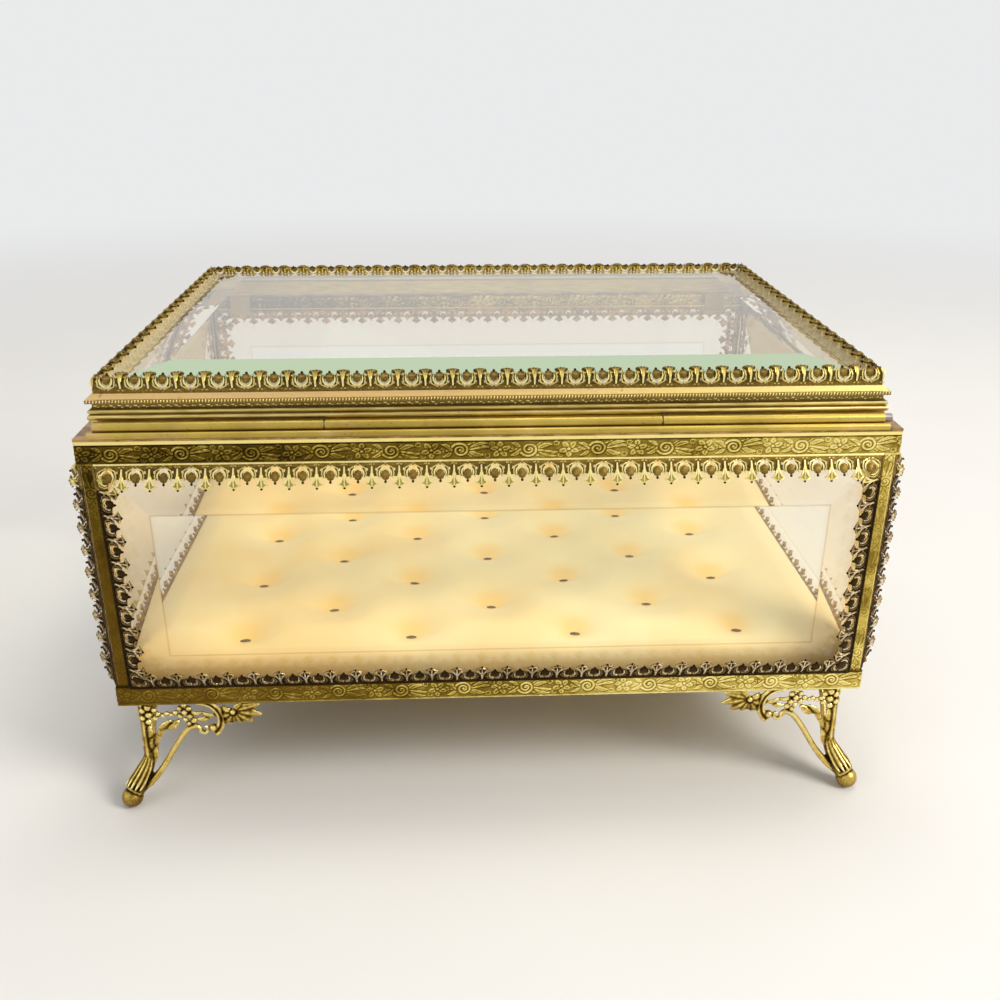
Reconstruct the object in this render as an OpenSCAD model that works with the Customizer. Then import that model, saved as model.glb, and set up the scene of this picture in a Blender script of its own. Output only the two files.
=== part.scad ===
// Glass casket box on four cast feet: bevelled panes in a gilt brass frame,
// filigree trims, a tufted cushion and a lid on a full-width rear hinge.
// The origin is the centre of the footprint on the table, +Z is up, +X runs
// along the length and the hinge side faces -Y.

/* [Body] */
// Length of the body, between the outer faces of its end bands
body_l = 178; // [150:1:230]
// Depth of the body, between the outer faces of its front and rear bands
body_w = 127; // [105:1:170]
// Height of the body, from its lower edge to the top of its rim
body_h = 67; // [58:1:90]
// Height of the feet, from the table to the lower edge of the body
foot_h = 29; // [26:1:36]

/* [Frame] */
// Thickness of the stamped strip that the bands and rim are folded from
band_t = 0.5; // [0.4:0.05:0.7]
// Height of the lower embossed band
lower_band_h = 5; // [4:0.1:7]
// Height of the upper embossed band
upper_band_h = 4.6; // [4:0.1:7]
// Height of the plain rim above the upper band
rim_h = 1.4; // [1:0.1:2.4]
// Width of the shelf that the rim turns inwards, which the lid sits on
shelf_w = 5; // [4:0.1:7]
// Width of the flange turned inwards under the lower band
flange_w = 6; // [5:0.1:9]
// Thickness of the corner posts
post_t = 0.5; // [0.4:0.05:0.7]
// Width of a corner post's leaf on the front or rear, from its fold
post_leaf = 3.1; // [2.4:0.1:5]
// Width of a corner post's leaf on an end, from its fold
post_end_leaf = 3.7; // [3.4:0.1:6]
// Thickness of the sheet floor
floor_t = 0.6; // [0.4:0.1:1]

/* [Glass] */
// Thickness of the glass in the flat middle of a pane
pane_t = 4; // [3:0.1:5]
// Thickness of the glass at the edge of a pane
pane_edge_t = 2; // [1.5:0.1:2.6]
// Width of the bevel around each pane
bevel_w = 12.7; // [8:0.1:18]
// Gap between the edge of a pane and the next piece
pane_gap = 0.1; // [0.05:0.05:0.3]
// Height of a body pane that is covered by the upper band
pane_lap = 1; // [0.6:0.1:3]

/* [Trim] */
// Width of a filigree strip, from its root to the tips of its drops
trim_w = 5.8; // [4.4:0.1:7]
// Thickness of a filigree strip
trim_t = 0.7; // [0.4:0.1:1]
// Length of one repeat of the filigree
trim_pitch = 5.8; // [5:0.1:8]
// Width of the flat rail that fixes a strip to the frame
rail_w = 0.8; // [0.6:0.1:1.2]
// Angle that the front and rear strips stand out from their face
trim_flare = 25; // [10:1:40]
// Angle that the end strips stand out from their face
end_trim_flare = 45; // [20:1:50]
// Distance from a corner of the body to the root of an upright end strip
end_trim_set = 1.6; // [1.4:0.1:3]

/* [Lid] */
// Distance from each face of the body in to the widest line of the lid
lid_inset = 2.8; // [2.4:0.1:4]
// Height of the lid frame, from its lower edge to the seat of its glass
lid_h = 7.7; // [7.2:0.1:12]
// Thickness of the lid's skirt and of its ledge under the glass
lid_wall = 0.6; // [0.5:0.1:1]
// Width of the ledge under the edge of the lid's glass
lid_ledge_w = 3.8; // [2:0.1:6]
// Gap between the lid and the shelf that it closes on
lid_gap = 0.3; // [0.2:0.05:0.5]
// Angle that the lid's filigree strips rise from the flat
lid_trim_tilt = 30; // [15:1:45]

/* [Hinge] */
// Diameter of the hinge barrel
barrel_d = 2.2; // [1.9:0.05:2.5]
// Diameter of the hinge pin
pin_d = 1.2; // [1:0.05:1.4]
// Radial clearance between the pin and the barrels
pin_gap = 0.04; // [0.02:0.01:0.08]
// Thickness of the hinge leaves
leaf_t = 0.5; // [0.4:0.05:0.6]
// Distance from the hinge axis in from the rear face
hinge_set = 1.2; // [1:0.05:1.3]
// Height of the hinge axis over the top of the rim
hinge_rise = 2.2; // [2:0.05:2.6]
// Distance from each end of the body in to the end of the lower leaf
leaf_inset = 3.3; // [2:0.1:10]
// Length of the middle barrel, which belongs to the lid
lid_barrel_l = 72; // [50:1:90]
// Gap between the ends of neighbouring barrels
barrel_gap = 0.3; // [0.15:0.05:0.5]
// Radius of the rolled front edge of the lower leaf
roll_r = 0.8; // [0.6:0.05:0.9]
// Gap between the rolled edge and the middle barrel
roll_gap = 0.1; // [0.05:0.05:0.3]

/* [Feet] */
// Distance from a face of the body in to the outside of a foot's wing
wing_set = 3; // [2.5:0.1:4]
// Thickness of a foot's wing
wing_t = 1.5; // [1.2:0.1:2]
// Width of the smooth leg in each wing
leg_w = 1.9; // [1.4:0.1:2.4]
// Radius of the ball under a foot
ball_r = 2.9; // [2.4:0.1:3.4]
// Distance from a face of the body out to the middle of a ball
ball_out = 0.3; // [0:0.1:1]
// Depth that a ball is flattened where it stands
ball_flat = 0.2; // [0.1:0.05:0.4]

/* [Cushion] */
// Thickness of the board under the cushion
board_t = 1.5; // [1:0.1:2.5]
// Height of the cushion between its tufts, over the board
cushion_h = 13; // [10:0.5:18]
// Depth that a tuft is drawn down
tuft_depth = 4; // [2:0.5:6]
// Spacing of neighbouring tufts along the length
tuft_dx = 39.6; // [30:0.2:48]
// Spacing of neighbouring tufts along the depth
tuft_dy = 27; // [22:0.2:34]
// Gap between the cushion or its board and the glass
soft_gap = 0.5; // [0.3:0.1:1.5]
// Radius of a stitch in a tuft
stitch_r = 0.6; // [0.4:0.1:0.9]

/* [Hidden] */
$fn = 48;
eps = 0.01;

gilt = [0.76, 0.62, 0.28];
old_gilt = [0.55, 0.44, 0.18];
clear_glass = [0.80, 0.92, 0.86, 0.35];
satin = [0.97, 0.88, 0.68];
steel = [0.72, 0.72, 0.73];
card = [0.72, 0.64, 0.50];
thread = [0.45, 0.34, 0.20];

half_l = body_l / 2;
half_w = body_w / 2;
rim_top = foot_h + body_h;
floor_top = foot_h + band_t + floor_t;
open_low = lower_band_h;
open_high = body_h - rim_h - upper_band_h;

pane_bottom = band_t + floor_t;
pane_top = open_high + pane_lap;

// A pane's bevel rises towards the edge of the post leaf that it lies behind,
// so the pane sits deeper by that rise
post_set = band_t + post_t;
bevel_slope = (pane_t - pane_edge_t) / bevel_w;
leaf_edge_x = half_l - band_t - post_leaf;
leaf_edge_y = half_w - band_t - post_end_leaf;
glass_half_l = half_l - post_set - 3 * pane_gap;
long_set = post_set + (glass_half_l - leaf_edge_x) * bevel_slope + pane_gap / 4;
long_back = long_set + pane_edge_t;
glass_half_w = half_w - long_back - pane_gap;
end_set = post_set + (glass_half_w - leaf_edge_y) * bevel_slope + pane_gap / 4;
end_back = end_set + pane_edge_t;

lid_l = body_l - 2 * lid_inset;
lid_w = body_w - 2 * lid_inset;
lid_low = rim_top + lid_gap;
lid_seat = lid_low + lid_h;
lid_wall_set = 1.6;
lid_glass_set = lid_wall_set + lid_wall;
lid_glass_top = lid_seat + pane_edge_t;

hinge_y = -half_w + hinge_set;
hinge_z = rim_top + hinge_rise;
barrel_r = barrel_d / 2;
bore_r = pin_d / 2 + pin_gap;
knuckle_split = lid_barrel_l / 2;
leaf_l = body_l - 2 * leaf_inset;
roll_lift = hinge_rise - sqrt(pow(barrel_r + roll_r + roll_gap, 2) - pow(hinge_set, 2));

board_half_l = half_l - end_back - soft_gap;
board_half_w = half_w - long_back - soft_gap;
board_top = floor_top + board_t;

// Place children on one upright face: X along it, Y up, Z outwards
module on_face(turn, reach) {
  translate([0, 0, foot_h])
    rotate([0, 0, turn])
      translate([0, -reach, 0])
        rotate([90, 0, 0])
          children();
}

// Place children at a corner of the body, with X and Y running inwards
module at_corner(side_x, side_y) {
  translate([side_x * half_l, side_y * half_w, 0])
    mirror([side_x > 0 ? 1 : 0, 0, 0])
      mirror([0, side_y > 0 ? 1 : 0, 0])
        children();
}

// A block given by its half sizes and its lowest and highest level
module block(half_x, half_y, low, high) {
  translate([-half_x, -half_y, low])
    cube([2 * half_x, 2 * half_y, high - low]);
}

// The strip frame of one band: a wall with a flange at the top or bottom
module folded_band(low, high, flange, flange_at_top) {
  difference() {
    block(half_l, half_w, low, high);
    block(half_l - band_t, half_w - band_t,
      flange_at_top ? low - eps : low + band_t,
      flange_at_top ? high - band_t : high + eps);
    block(half_l - flange, half_w - flange, low - eps, high + eps);
  }
}

module lower_band() {
  color(gilt)
    folded_band(foot_h, foot_h + lower_band_h, flange_w, false);
}

module upper_band() {
  color(gilt)
    difference() {
      block(half_l, half_w, foot_h + open_high, rim_top - rim_h);
      block(half_l - band_t, half_w - band_t, foot_h, rim_top);
    }
}

module body_rim() {
  color(gilt)
    folded_band(rim_top - rim_h, rim_top, shelf_w, true);
}

module floor_pan() {
  color(old_gilt)
    block(half_l - band_t, half_w - band_t, foot_h + band_t, floor_top);
}

module corner_post(side_x, side_y) {
  color(gilt)
    at_corner(side_x, side_y)
      translate([band_t, band_t, floor_top])
        linear_extrude(rim_top - band_t - floor_top)
          union() {
            square([post_leaf, post_t]);
            square([post_t, post_end_leaf]);
          }
}

// A bevelled plate: each prism carries the bevels of two opposite edges
module bevelled_plate(half_x, half_y, edge_t, full_t) {
  intersection() {
    translate([0, half_y, 0])
      rotate([90, 0, 0])
        linear_extrude(2 * half_y)
          bevel_section(half_x, edge_t, full_t);
    translate([half_x, 0, 0])
      rotate([90, 0, -90])
        linear_extrude(2 * half_x)
          bevel_section(half_y, edge_t, full_t);
  }
}

module bevel_section(half, edge_t, full_t) {
  polygon([
    [-half, 0], [half, 0], [half, edge_t],
    [half - bevel_w, full_t], [-half + bevel_w, full_t], [-half, edge_t]
  ]);
}

module body_pane(turn, back, half) {
  tall = pane_top - pane_bottom;
  color(clear_glass)
    on_face(turn, back)
      translate([0, pane_bottom + tall / 2, 0])
        bevelled_plate(half, tall / 2, pane_edge_t, pane_t);
}

// Bent tabs under the shelf that keep the glass against the posts
clip_l = 6;
clip_drop = 1.6;
clip_t = 0.4;
clip_place = 0.86;

module pane_clip_pair(turn, back, half) {
  top = body_h - band_t;
  on_face(turn, back)
    for (side = [-1, 1])
      translate([side * half * clip_place - clip_l / 2, pane_top - clip_drop, -clip_t])
        cube([clip_l, top - pane_top + clip_drop, clip_t]);
}

module pane_clips() {
  color(old_gilt)
    for (turn = [0, 180]) {
      pane_clip_pair(turn, half_w - long_back, half_l);
      pane_clip_pair(turn + 90, half_l - end_back, half_w);
    }
}

// One repeat of the filigree's free edge, as shares of pitch and of width
edge_points = [
  [-0.50, 1.00], [-0.32, 0.76], [-0.38, 0.62], [-0.20, 0.86],
  [0.20, 0.86], [0.38, 0.62], [0.32, 0.76]
];
eye_r = 0.13;
eye_y = 0.48;
base_y = 0.22;
root_sink = 0.15;
root_lift = 0.12;
mitre_gap = 0.2;

// A strip's outline: its root on X, growing along Y, with as many whole
// repeats as fit between the mitres
module filigree_outline(root_l, mitre) {
  n = floor((root_l - 2 * trim_w * mitre) / trim_pitch);
  first = -(n - 1) / 2;
  root_end = root_l / 2 - mitre_gap;
  base_end = root_end - base_y * trim_w * mitre;
  free_edge = [
    for (i = [0 : n - 1]) for (q = edge_points)
      [(first + i + q.x) * trim_pitch, q.y * trim_w]
  ];
  difference() {
    polygon(concat(
      [[-root_end, -root_sink], [-base_end, base_y * trim_w],
        [(first - 0.6) * trim_pitch, base_y * trim_w]],
      free_edge,
      [[(first + n - 0.5) * trim_pitch, trim_w], [(first + n - 0.4) * trim_pitch, base_y * trim_w],
        [base_end, base_y * trim_w], [root_end, -root_sink]]));
    for (i = [0 : n - 1])
      translate([(first + i) * trim_pitch, eye_y * trim_w])
        circle(r = eye_r * trim_pitch, $fn = 6);
  }
}

// A strip with mitred ends, tilted up out of the plane about its root
module filigree_strip(root_l, tilt) {
  rotate([tilt, 0, 0])
    linear_extrude(trim_t)
      filigree_outline(root_l, cos(tilt));
}

// Four strips around an opening, with their roots on its edges
module filigree_frame(half_x, half_y, tilt) {
  for (turn = [0, 180]) {
    rotate([0, 0, turn])
      translate([0, -half_y, 0])
        filigree_strip(2 * half_x, tilt);
    rotate([0, 0, turn + 90])
      translate([0, -half_x, 0])
        filigree_strip(2 * half_y, tilt);
  }
}

module face_trim(turn, reach, half, flare) {
  middle = (open_low + open_high) / 2;
  half_open = (open_high - open_low) / 2;
  color(old_gilt)
    on_face(turn, reach)
      translate([0, middle, 0])
        union() {
          translate([0, 0, root_lift])
            filigree_frame(half, half_open, flare);
          difference() {
            block(half + rail_w, half_open + rail_w, 0, trim_t);
            block(half, half_open, -1, trim_t + 1);
          }
          for (side = [-1, 1])
            translate([side * (half + rail_w / 2) - rail_w / 2, -half_open, -band_t])
              cube([rail_w, 2 * half_open, band_t + trim_t / 2]);
        }
}

// Points of a cubic curve through four control points
function curve(p0, p1, p2, p3, n) = [
  for (i = [0 : n])
    let (t = i / n, s = 1 - t)
      s * s * s * p0 + 3 * s * s * t * p1 + 3 * s * t * t * p2 + t * t * t * p3
];

// Points of an arc in degrees, from one angle to the other
function arc(centre, r, from, to, n) = [
  for (i = [0 : n])
    centre + r * [cos(from + (to - from) * i / n), sin(from + (to - from) * i / n)]
];

function across(p, q) = let (d = q - p) [-d.y, d.x] / norm(d);

function side_of(line, i) =
  across(line[max(i - 1, 0)], line[min(i + 1, len(line) - 1)]);

// A flat band of even width along a line of points
module band_along(line, width) {
  last = len(line) - 1;
  polygon(concat(
    [for (i = [0 : last]) line[i] + side_of(line, i) * width / 2],
    [for (i = [last : -1 : 0]) line[i] - side_of(line, i) * width / 2]));
}

// Sizes inside a foot's wing: across from the corner, and down from the body
wing_l = 31;
plate_h = 0.8;
scroll_at = [17.6, -6.8];
scroll_r = 5.4;
scroll_w = 1.7;
curl_at = [18.3, -9.8];
curl_r = 1.3;
bead_at = [20.5, -9.5];
bead_r = 1.05;
leg_end = [4.6, 5.9];
ankle_top = [3.9, 10.4];
ankle_r = [1.7, 2.7];
stem_w = 3.2;
leaf_discs = [
  [26.3, -4.4, 2.9], [29.6, -3.3, 2.7], [28.5, -6.2, 1.9], [24.6, -7.6, 1.3]
];
berry_discs = [
  [14.2, -4.2, 2.2], [12.2, -5.9, 1.2], [16.4, -6.0, 1.3], [15.4, -7.7, 1.1],
  [5.6, -4.4, 2.3], [4.8, -7.6, 1.8], [9.6, -5.4, 1.0], [7.8, -9.6, 1.2]
];

module wing_outline() {
  translate([0, foot_h])
    union() {
      translate([wing_set, -plate_h])
        square([wing_l - wing_set, plate_h]);
      band_along(arc(scroll_at, scroll_r, 95, -40, 14), scroll_w);
      band_along([[22.8, -5.6], [19.5, -4.6], [15, -4.4]], 1.4);
      band_along([[13, -4.6], [9.6, -5.4], [5, -5]], 1.4);
      band_along(curve([12.8, -7.4], [8.6, -8.4], [6.6, -11], [5.4, -16.5], 8), 1.7);
      translate(curl_at)
        circle(r = curl_r);
      translate(bead_at)
        circle(r = bead_r);
      for (d = concat(leaf_discs, berry_discs))
        translate([d.x, d.y])
          circle(r = d.z);
    }
  // The smooth leg and the upright stem run down to the ankle
  band_along(curve(
    [curl_at.x - 0.6, foot_h + curl_at.y + 0.6], [13, foot_h - 7.2],
    [9, leg_end.y + 4.6], leg_end, 14), leg_w);
  polygon([
    [wing_set, foot_h - plate_h / 2], [wing_set + stem_w, foot_h - plate_h / 2],
    [ankle_top.x + 1.7, ankle_top.y - 1], [wing_set, ankle_top.y - 1]
  ]);
}

// A round bar from one point to another, with its own radius at each end
module taper(from, to, r_from, r_to) {
  d = to - from;
  translate(from)
    rotate([0, acos(d.z / norm(d)), atan2(d.y, d.x)])
      cylinder(h = norm(d), r1 = r_from, r2 = r_to);
}

module foot(side_x, side_y) {
  ball = [-ball_out, -ball_out, ball_r - ball_flat];
  leg_mid = wing_set + wing_t / 2;
  color(gilt)
    at_corner(side_x, side_y)
      difference() {
        union() {
          for (swap = [0, 1])
            mirror([swap, -swap, 0]) {
              translate([0, wing_set + wing_t, 0])
                rotate([90, 0, 0])
                  linear_extrude(wing_t)
                    wing_outline();
              taper([leg_end.x + 0.4, leg_mid, leg_end.y + 0.4],
                [ball.x + 1, ball.y + 1, ball.z + 0.6], leg_w / 2, leg_w / 2 + 0.3);
            }
          taper([ankle_top.x, ankle_top.x, ankle_top.y],
            [ball.x + 0.5, ball.y + 0.5, ball.z + 0.6], ankle_r[0], ankle_r[1]);
          translate(ball)
            sphere(r = ball_r);
        }
        translate([ball.x - 2 * ball_r, ball.y - 2 * ball_r, -ball_r])
          cube([4 * ball_r, 4 * ball_r, ball_r]);
      }
}

module cushion_board() {
  color(card)
    block(board_half_l, board_half_w, floor_top, board_top);
}

// The cushion's grid has its lines through the tufts
cells_x = 4;
cells_y = 3;
edge_roll = 13;
draw_in = 2.5;
crease_depth = 0.22;
crease_span = 0.35;
tuft_spread = 6.5;
step_x = tuft_dx / 2 / cells_x;
step_y = tuft_dy / 2 / cells_y;
count_x = floor((board_half_l - 1) / step_x);
count_y = floor((board_half_w - 1) / step_y);
grid_x = concat([-board_half_l], [for (i = [-count_x : count_x]) i * step_x], [board_half_l]);
grid_y = concat([-board_half_w], [for (i = [-count_y : count_y]) i * step_y], [board_half_w]);
tuft_rows = floor((board_half_w - 4) / (tuft_dy / 2));
tuft_columns = floor((board_half_l - 12) / (tuft_dx / 2));

// A tuft lies where row and column are both odd or both even, off the middle
tufts = [
  for (j = [-tuft_rows : tuft_rows]) for (i = [-tuft_columns : tuft_columns])
    if ((abs(i) + abs(j)) % 2 == 1) [i * tuft_dx / 2, j * tuft_dy / 2]
];

function near_tuft(p) = min([for (t = tufts) norm(p - t)]);

// Distance from the nearest slanting line that joins two tufts, 0 to 1
function crease_share(p) =
  let (
    a = p.x / tuft_dx + p.y / tuft_dy + 0.5,
    b = p.x / tuft_dx - p.y / tuft_dy + 0.5
  )
    2 * min(abs(a - round(a)), abs(b - round(b)));

function roll_height(inset) =
  inset >= edge_roll ? 1 : sqrt(1 - pow(1 - inset / edge_roll, 2));

function cushion_top(p) =
  let (
    inset = min(board_half_l - abs(p.x), board_half_w - abs(p.y)),
    puff = cushion_h * (0.45 + 0.55 * roll_height(inset)),
    tuft = tuft_depth * exp(-pow(near_tuft(p) / tuft_spread, 2)),
    crease = cushion_h * crease_depth * max(0, crease_span - crease_share(p))
  )
    board_top + puff - max(tuft, crease);

module cushion() {
  nx = len(grid_x);
  ny = len(grid_y);
  top = [for (y = grid_y) for (x = grid_x) [x, y, cushion_top([x, y])]];
  ring = concat(
    [for (i = [0 : nx - 2]) [i, 0]], [for (j = [0 : ny - 2]) [nx - 1, j]],
    [for (i = [nx - 1 : -1 : 1]) [i, ny - 1]], [for (j = [ny - 1 : -1 : 1]) [0, j]]);
  m = len(ring);
  shrink_x = (board_half_l - draw_in) / board_half_l;
  shrink_y = (board_half_w - draw_in) / board_half_w;
  foot_ring = [
    for (r = ring) [grid_x[r.x] * shrink_x, grid_y[r.y] * shrink_y, board_top]
  ];
  top_faces = [
    for (j = [0 : ny - 2]) for (i = [0 : nx - 2])
      let (k = j * nx + i)
        for (f = [[k, k + nx, k + nx + 1], [k, k + nx + 1, k + 1]]) f
  ];
  side_faces = [
    for (i = [0 : m - 1])
      let (
        a = ring[i].y * nx + ring[i].x,
        b = ring[(i + 1) % m].y * nx + ring[(i + 1) % m].x,
        c = nx * ny + i,
        d = nx * ny + (i + 1) % m
      )
        for (f = [[a, b, d], [a, d, c]]) f
  ];
  centre = nx * ny + m;
  bottom_faces = [for (i = [0 : m - 1]) [nx * ny + i, nx * ny + (i + 1) % m, centre]];
  color(satin)
    polyhedron(
      concat(top, foot_ring, [[0, 0, board_top]]),
      concat(top_faces, side_faces, bottom_faces));
}

// Small knots of thread, each resting in its tuft
stitch_h = 0.5;
stitch_lift = 0.3;

module tufting_stitches() {
  color(thread)
    for (t = tufts)
      translate([t.x, t.y, cushion_top(t) + stitch_lift])
        cylinder(h = stitch_h, r = stitch_r);
}

// A length of barrel with its bore, from one X to another
module barrel(from, to) {
  translate([from, hinge_y, hinge_z])
    rotate([0, 90, 0])
      difference() {
        cylinder(h = to - from, r = barrel_r);
        translate([0, 0, -eps])
          cylinder(h = to - from + 2 * eps, r = bore_r);
      }
}

// The lower leaf lies on the shelf outside the lid, and rolls over its edge
leaf_edge = hinge_set + barrel_r;
barrel_inset = 1;

module hinge_leaf_lower() {
  end = leaf_l / 2;
  start = knuckle_split + barrel_gap;
  web_y = hinge_y + barrel_r - leaf_t;
  color(gilt)
    union() {
      translate([end, 0, 0])
        rotate([90, 0, -90])
          linear_extrude(leaf_l)
            difference() {
              union() {
                translate([half_w, rim_top + roll_lift])
                  circle(r = roll_r);
                translate([half_w - leaf_edge, rim_top])
                  square([leaf_edge, leaf_t]);
              }
              translate([0, rim_top - 2 * roll_r])
                square([half_w, 2 * roll_r]);
            }
      for (side = [-1, 1]) {
        low = side < 0 ? -end + barrel_inset : start;
        high = side < 0 ? -start : end - barrel_inset;
        barrel(low, high);
        translate([low, web_y, rim_top + leaf_t / 2])
          cube([high - low, leaf_t, hinge_rise - leaf_t / 2]);
      }
    }
}

module hinge_pin() {
  head_l = 1.6;
  head_r = barrel_r * 0.85;
  end = leaf_l / 2 - barrel_inset;
  color(steel)
    union() {
      translate([-end, hinge_y, hinge_z])
        rotate([0, 90, 0])
          cylinder(h = 2 * end + head_l, r = pin_d / 2);
      translate([end + pin_gap, hinge_y, hinge_z])
        rotate([0, 90, 0])
          cylinder(h = head_l, r = head_r);
    }
}

// The upper leaf is fixed to the rear of the lid's skirt
module hinge_leaf_upper() {
  skirt_y = -lid_w / 2 + lid_skirt_set;
  plate_low = lid_low + 0.3;
  plate_high = lid_low + lid_skirt_h;
  web_z = hinge_z + bore_r / 2;
  color(gilt)
    union() {
      barrel(-knuckle_split, knuckle_split);
      translate([-knuckle_split, skirt_y - leaf_t, plate_low])
        cube([lid_barrel_l, leaf_t, plate_high - plate_low]);
      difference() {
        translate([-knuckle_split, hinge_y + bore_r, web_z])
          cube([lid_barrel_l, skirt_y - hinge_y - bore_r, leaf_t]);
        translate([-knuckle_split - eps, hinge_y, hinge_z])
          rotate([0, 90, 0])
            cylinder(h = lid_barrel_l + 2 * eps, r = bore_r);
      }
    }
}

// Outline of the lid's moulding: inset from the widest line, and height over
// its lower edge, from the skirt up to the wall around the glass
lid_skirt_set = 0.6;
lid_skirt_h = 2.6;

function lid_outline() =
  let (
    bead_low = arc([0.65, lid_skirt_h + 0.75], 0.65, 270, 90, 8),
    bead_high = arc([0.62, lid_skirt_h + 2.0], 0.45, 270, 90, 6),
    cove_low = lid_skirt_h + 2.55,
    cove_high = lid_h - 1.2
  )
    concat(
      [[lid_skirt_set, 0], [lid_skirt_set, lid_skirt_h + 0.1]],
      bead_low, bead_high,
      [[0.85, cove_low], [1.1, cove_low + 0.25], [1.1, cove_high - 0.3], [0.6, cove_high - 0.05]],
      [[0.0, cove_high], [0.0, cove_high + 0.75], [0.4, cove_high + 0.85]],
      [[lid_wall_set, lid_h + 0.9], [lid_wall_set, lid_h + pane_edge_t]]);

// The solid inside the moulding's outer surface, seen along one direction
module lid_silhouette(half) {
  side = lid_outline();
  last = len(side) - 1;
  polygon(concat(
    [for (i = [0 : last]) [half - side[i].x, lid_low + side[i].y]],
    [for (i = [last : -1 : 0]) [-half + side[i].x, lid_low + side[i].y]]));
}

module lid_frame() {
  inner = lid_wall_set + 0.1;
  color(gilt)
    difference() {
      intersection() {
        translate([0, lid_w / 2, 0])
          rotate([90, 0, 0])
            linear_extrude(lid_w)
              lid_silhouette(lid_l / 2);
        translate([lid_l / 2, 0, 0])
          rotate([90, 0, -90])
            linear_extrude(lid_l)
              lid_silhouette(lid_w / 2);
      }
      block(lid_l / 2 - inner, lid_w / 2 - inner, lid_low - 1, lid_seat - lid_wall);
      block(lid_l / 2 - lid_glass_set - lid_ledge_w, lid_w / 2 - lid_glass_set - lid_ledge_w,
        lid_low, lid_seat + 1);
      block(lid_l / 2 - lid_glass_set, lid_w / 2 - lid_glass_set, lid_seat, lid_glass_top + 1);
    }
}

module lid_pane() {
  set = lid_glass_set + pane_gap;
  color(clear_glass)
    translate([0, 0, lid_seat])
      bevelled_plate(lid_l / 2 - set, lid_w / 2 - set, pane_edge_t, pane_t);
}

// Distance that the lid's strips start back over the top of their rail
rail_bite = 0.2;

module lid_trim() {
  half_x = lid_l / 2 - lid_wall_set;
  half_y = lid_w / 2 - lid_wall_set;
  rail_low = lid_seat + 0.9;
  color(old_gilt)
    union() {
      translate([0, 0, lid_glass_top - rail_bite / 4])
        filigree_frame(half_x + rail_bite, half_y + rail_bite, lid_trim_tilt);
      difference() {
        block(half_x + trim_t, half_y + trim_t, rail_low, lid_glass_top);
        block(half_x, half_y, rail_low - 1, lid_glass_top + 1);
      }
    }
}

lower_band();
upper_band();
body_rim();
floor_pan();
corner_post(-1, -1);  // corner_post_rear_left
corner_post(1, -1);  // corner_post_rear_right
corner_post(-1, 1);  // corner_post_front_left
corner_post(1, 1);  // corner_post_front_right
body_pane(0, half_w - long_back, glass_half_l);  // pane_rear
body_pane(90, half_l - end_back, glass_half_w);  // pane_right
body_pane(180, half_w - long_back, glass_half_l);  // pane_front
body_pane(270, half_l - end_back, glass_half_w);  // pane_left
pane_clips();
face_trim(0, half_w, leaf_edge_x, trim_flare);  // trim_rear
face_trim(90, half_l, half_w - end_trim_set, end_trim_flare);  // trim_right
face_trim(180, half_w, leaf_edge_x, trim_flare);  // trim_front
face_trim(270, half_l, half_w - end_trim_set, end_trim_flare);  // trim_left
foot(-1, -1);  // foot_rear_left
foot(1, -1);  // foot_rear_right
foot(-1, 1);  // foot_front_left
foot(1, 1);  // foot_front_right
cushion_board();
cushion();
tufting_stitches();
hinge_leaf_lower();
hinge_pin();
hinge_leaf_upper();
lid_frame();
lid_pane();
lid_trim();
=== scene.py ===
import math

import bmesh
import bpy
import numpy as np
from mathutils import Matrix, Vector


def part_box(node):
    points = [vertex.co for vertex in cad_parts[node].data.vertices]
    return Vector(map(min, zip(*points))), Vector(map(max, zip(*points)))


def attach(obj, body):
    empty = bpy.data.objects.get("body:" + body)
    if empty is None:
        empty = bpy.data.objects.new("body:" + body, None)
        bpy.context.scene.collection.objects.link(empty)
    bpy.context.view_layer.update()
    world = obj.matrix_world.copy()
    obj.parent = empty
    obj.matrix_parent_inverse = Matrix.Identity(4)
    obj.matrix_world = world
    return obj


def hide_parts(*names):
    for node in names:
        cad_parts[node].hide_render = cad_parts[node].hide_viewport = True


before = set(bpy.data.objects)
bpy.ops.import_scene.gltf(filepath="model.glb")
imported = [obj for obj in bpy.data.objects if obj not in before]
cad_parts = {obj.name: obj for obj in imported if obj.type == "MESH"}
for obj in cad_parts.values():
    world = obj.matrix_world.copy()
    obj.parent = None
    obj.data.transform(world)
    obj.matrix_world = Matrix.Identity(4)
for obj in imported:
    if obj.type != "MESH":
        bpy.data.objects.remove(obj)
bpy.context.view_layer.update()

# Looks of a glass casket box: gilt brass frame with embossed bands, filigree
# strips, bevelled glass, cast corner feet and a tufted satin cushion.
# Shapes are worked out in millimetres and stored in metres.
MM = 0.001

# The body: half its length and width, its foot, openings, bands, posts and sheet
HALF_L, HALF_W = 89.0, 63.5
FOOT_H = 29.0
OPEN_LOW, OPEN_HIGH = 34.0, 90.0
BAND_TOP = 94.6
POST_LOW, POST_HIGH = 30.1, 95.5
SHEET = 0.5

# The filigree: its repeat and width, and half the lid strip's length and width and its level
TRIM_PITCH, TRIM_W = 5.8, 5.8
LID_STRIP = (84.55, 59.05, 104.75)

# Cosine and sine of the turn to the rear, right, front and left sides
QUARTERS = ((1, 0), (0, 1), (-1, 0), (0, -1))

CORNERS = ((-1, -1, "rear_left"), (1, -1, "rear_right"),
           (-1, 1, "front_left"), (1, 1, "front_right"))


# Shapes

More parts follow.
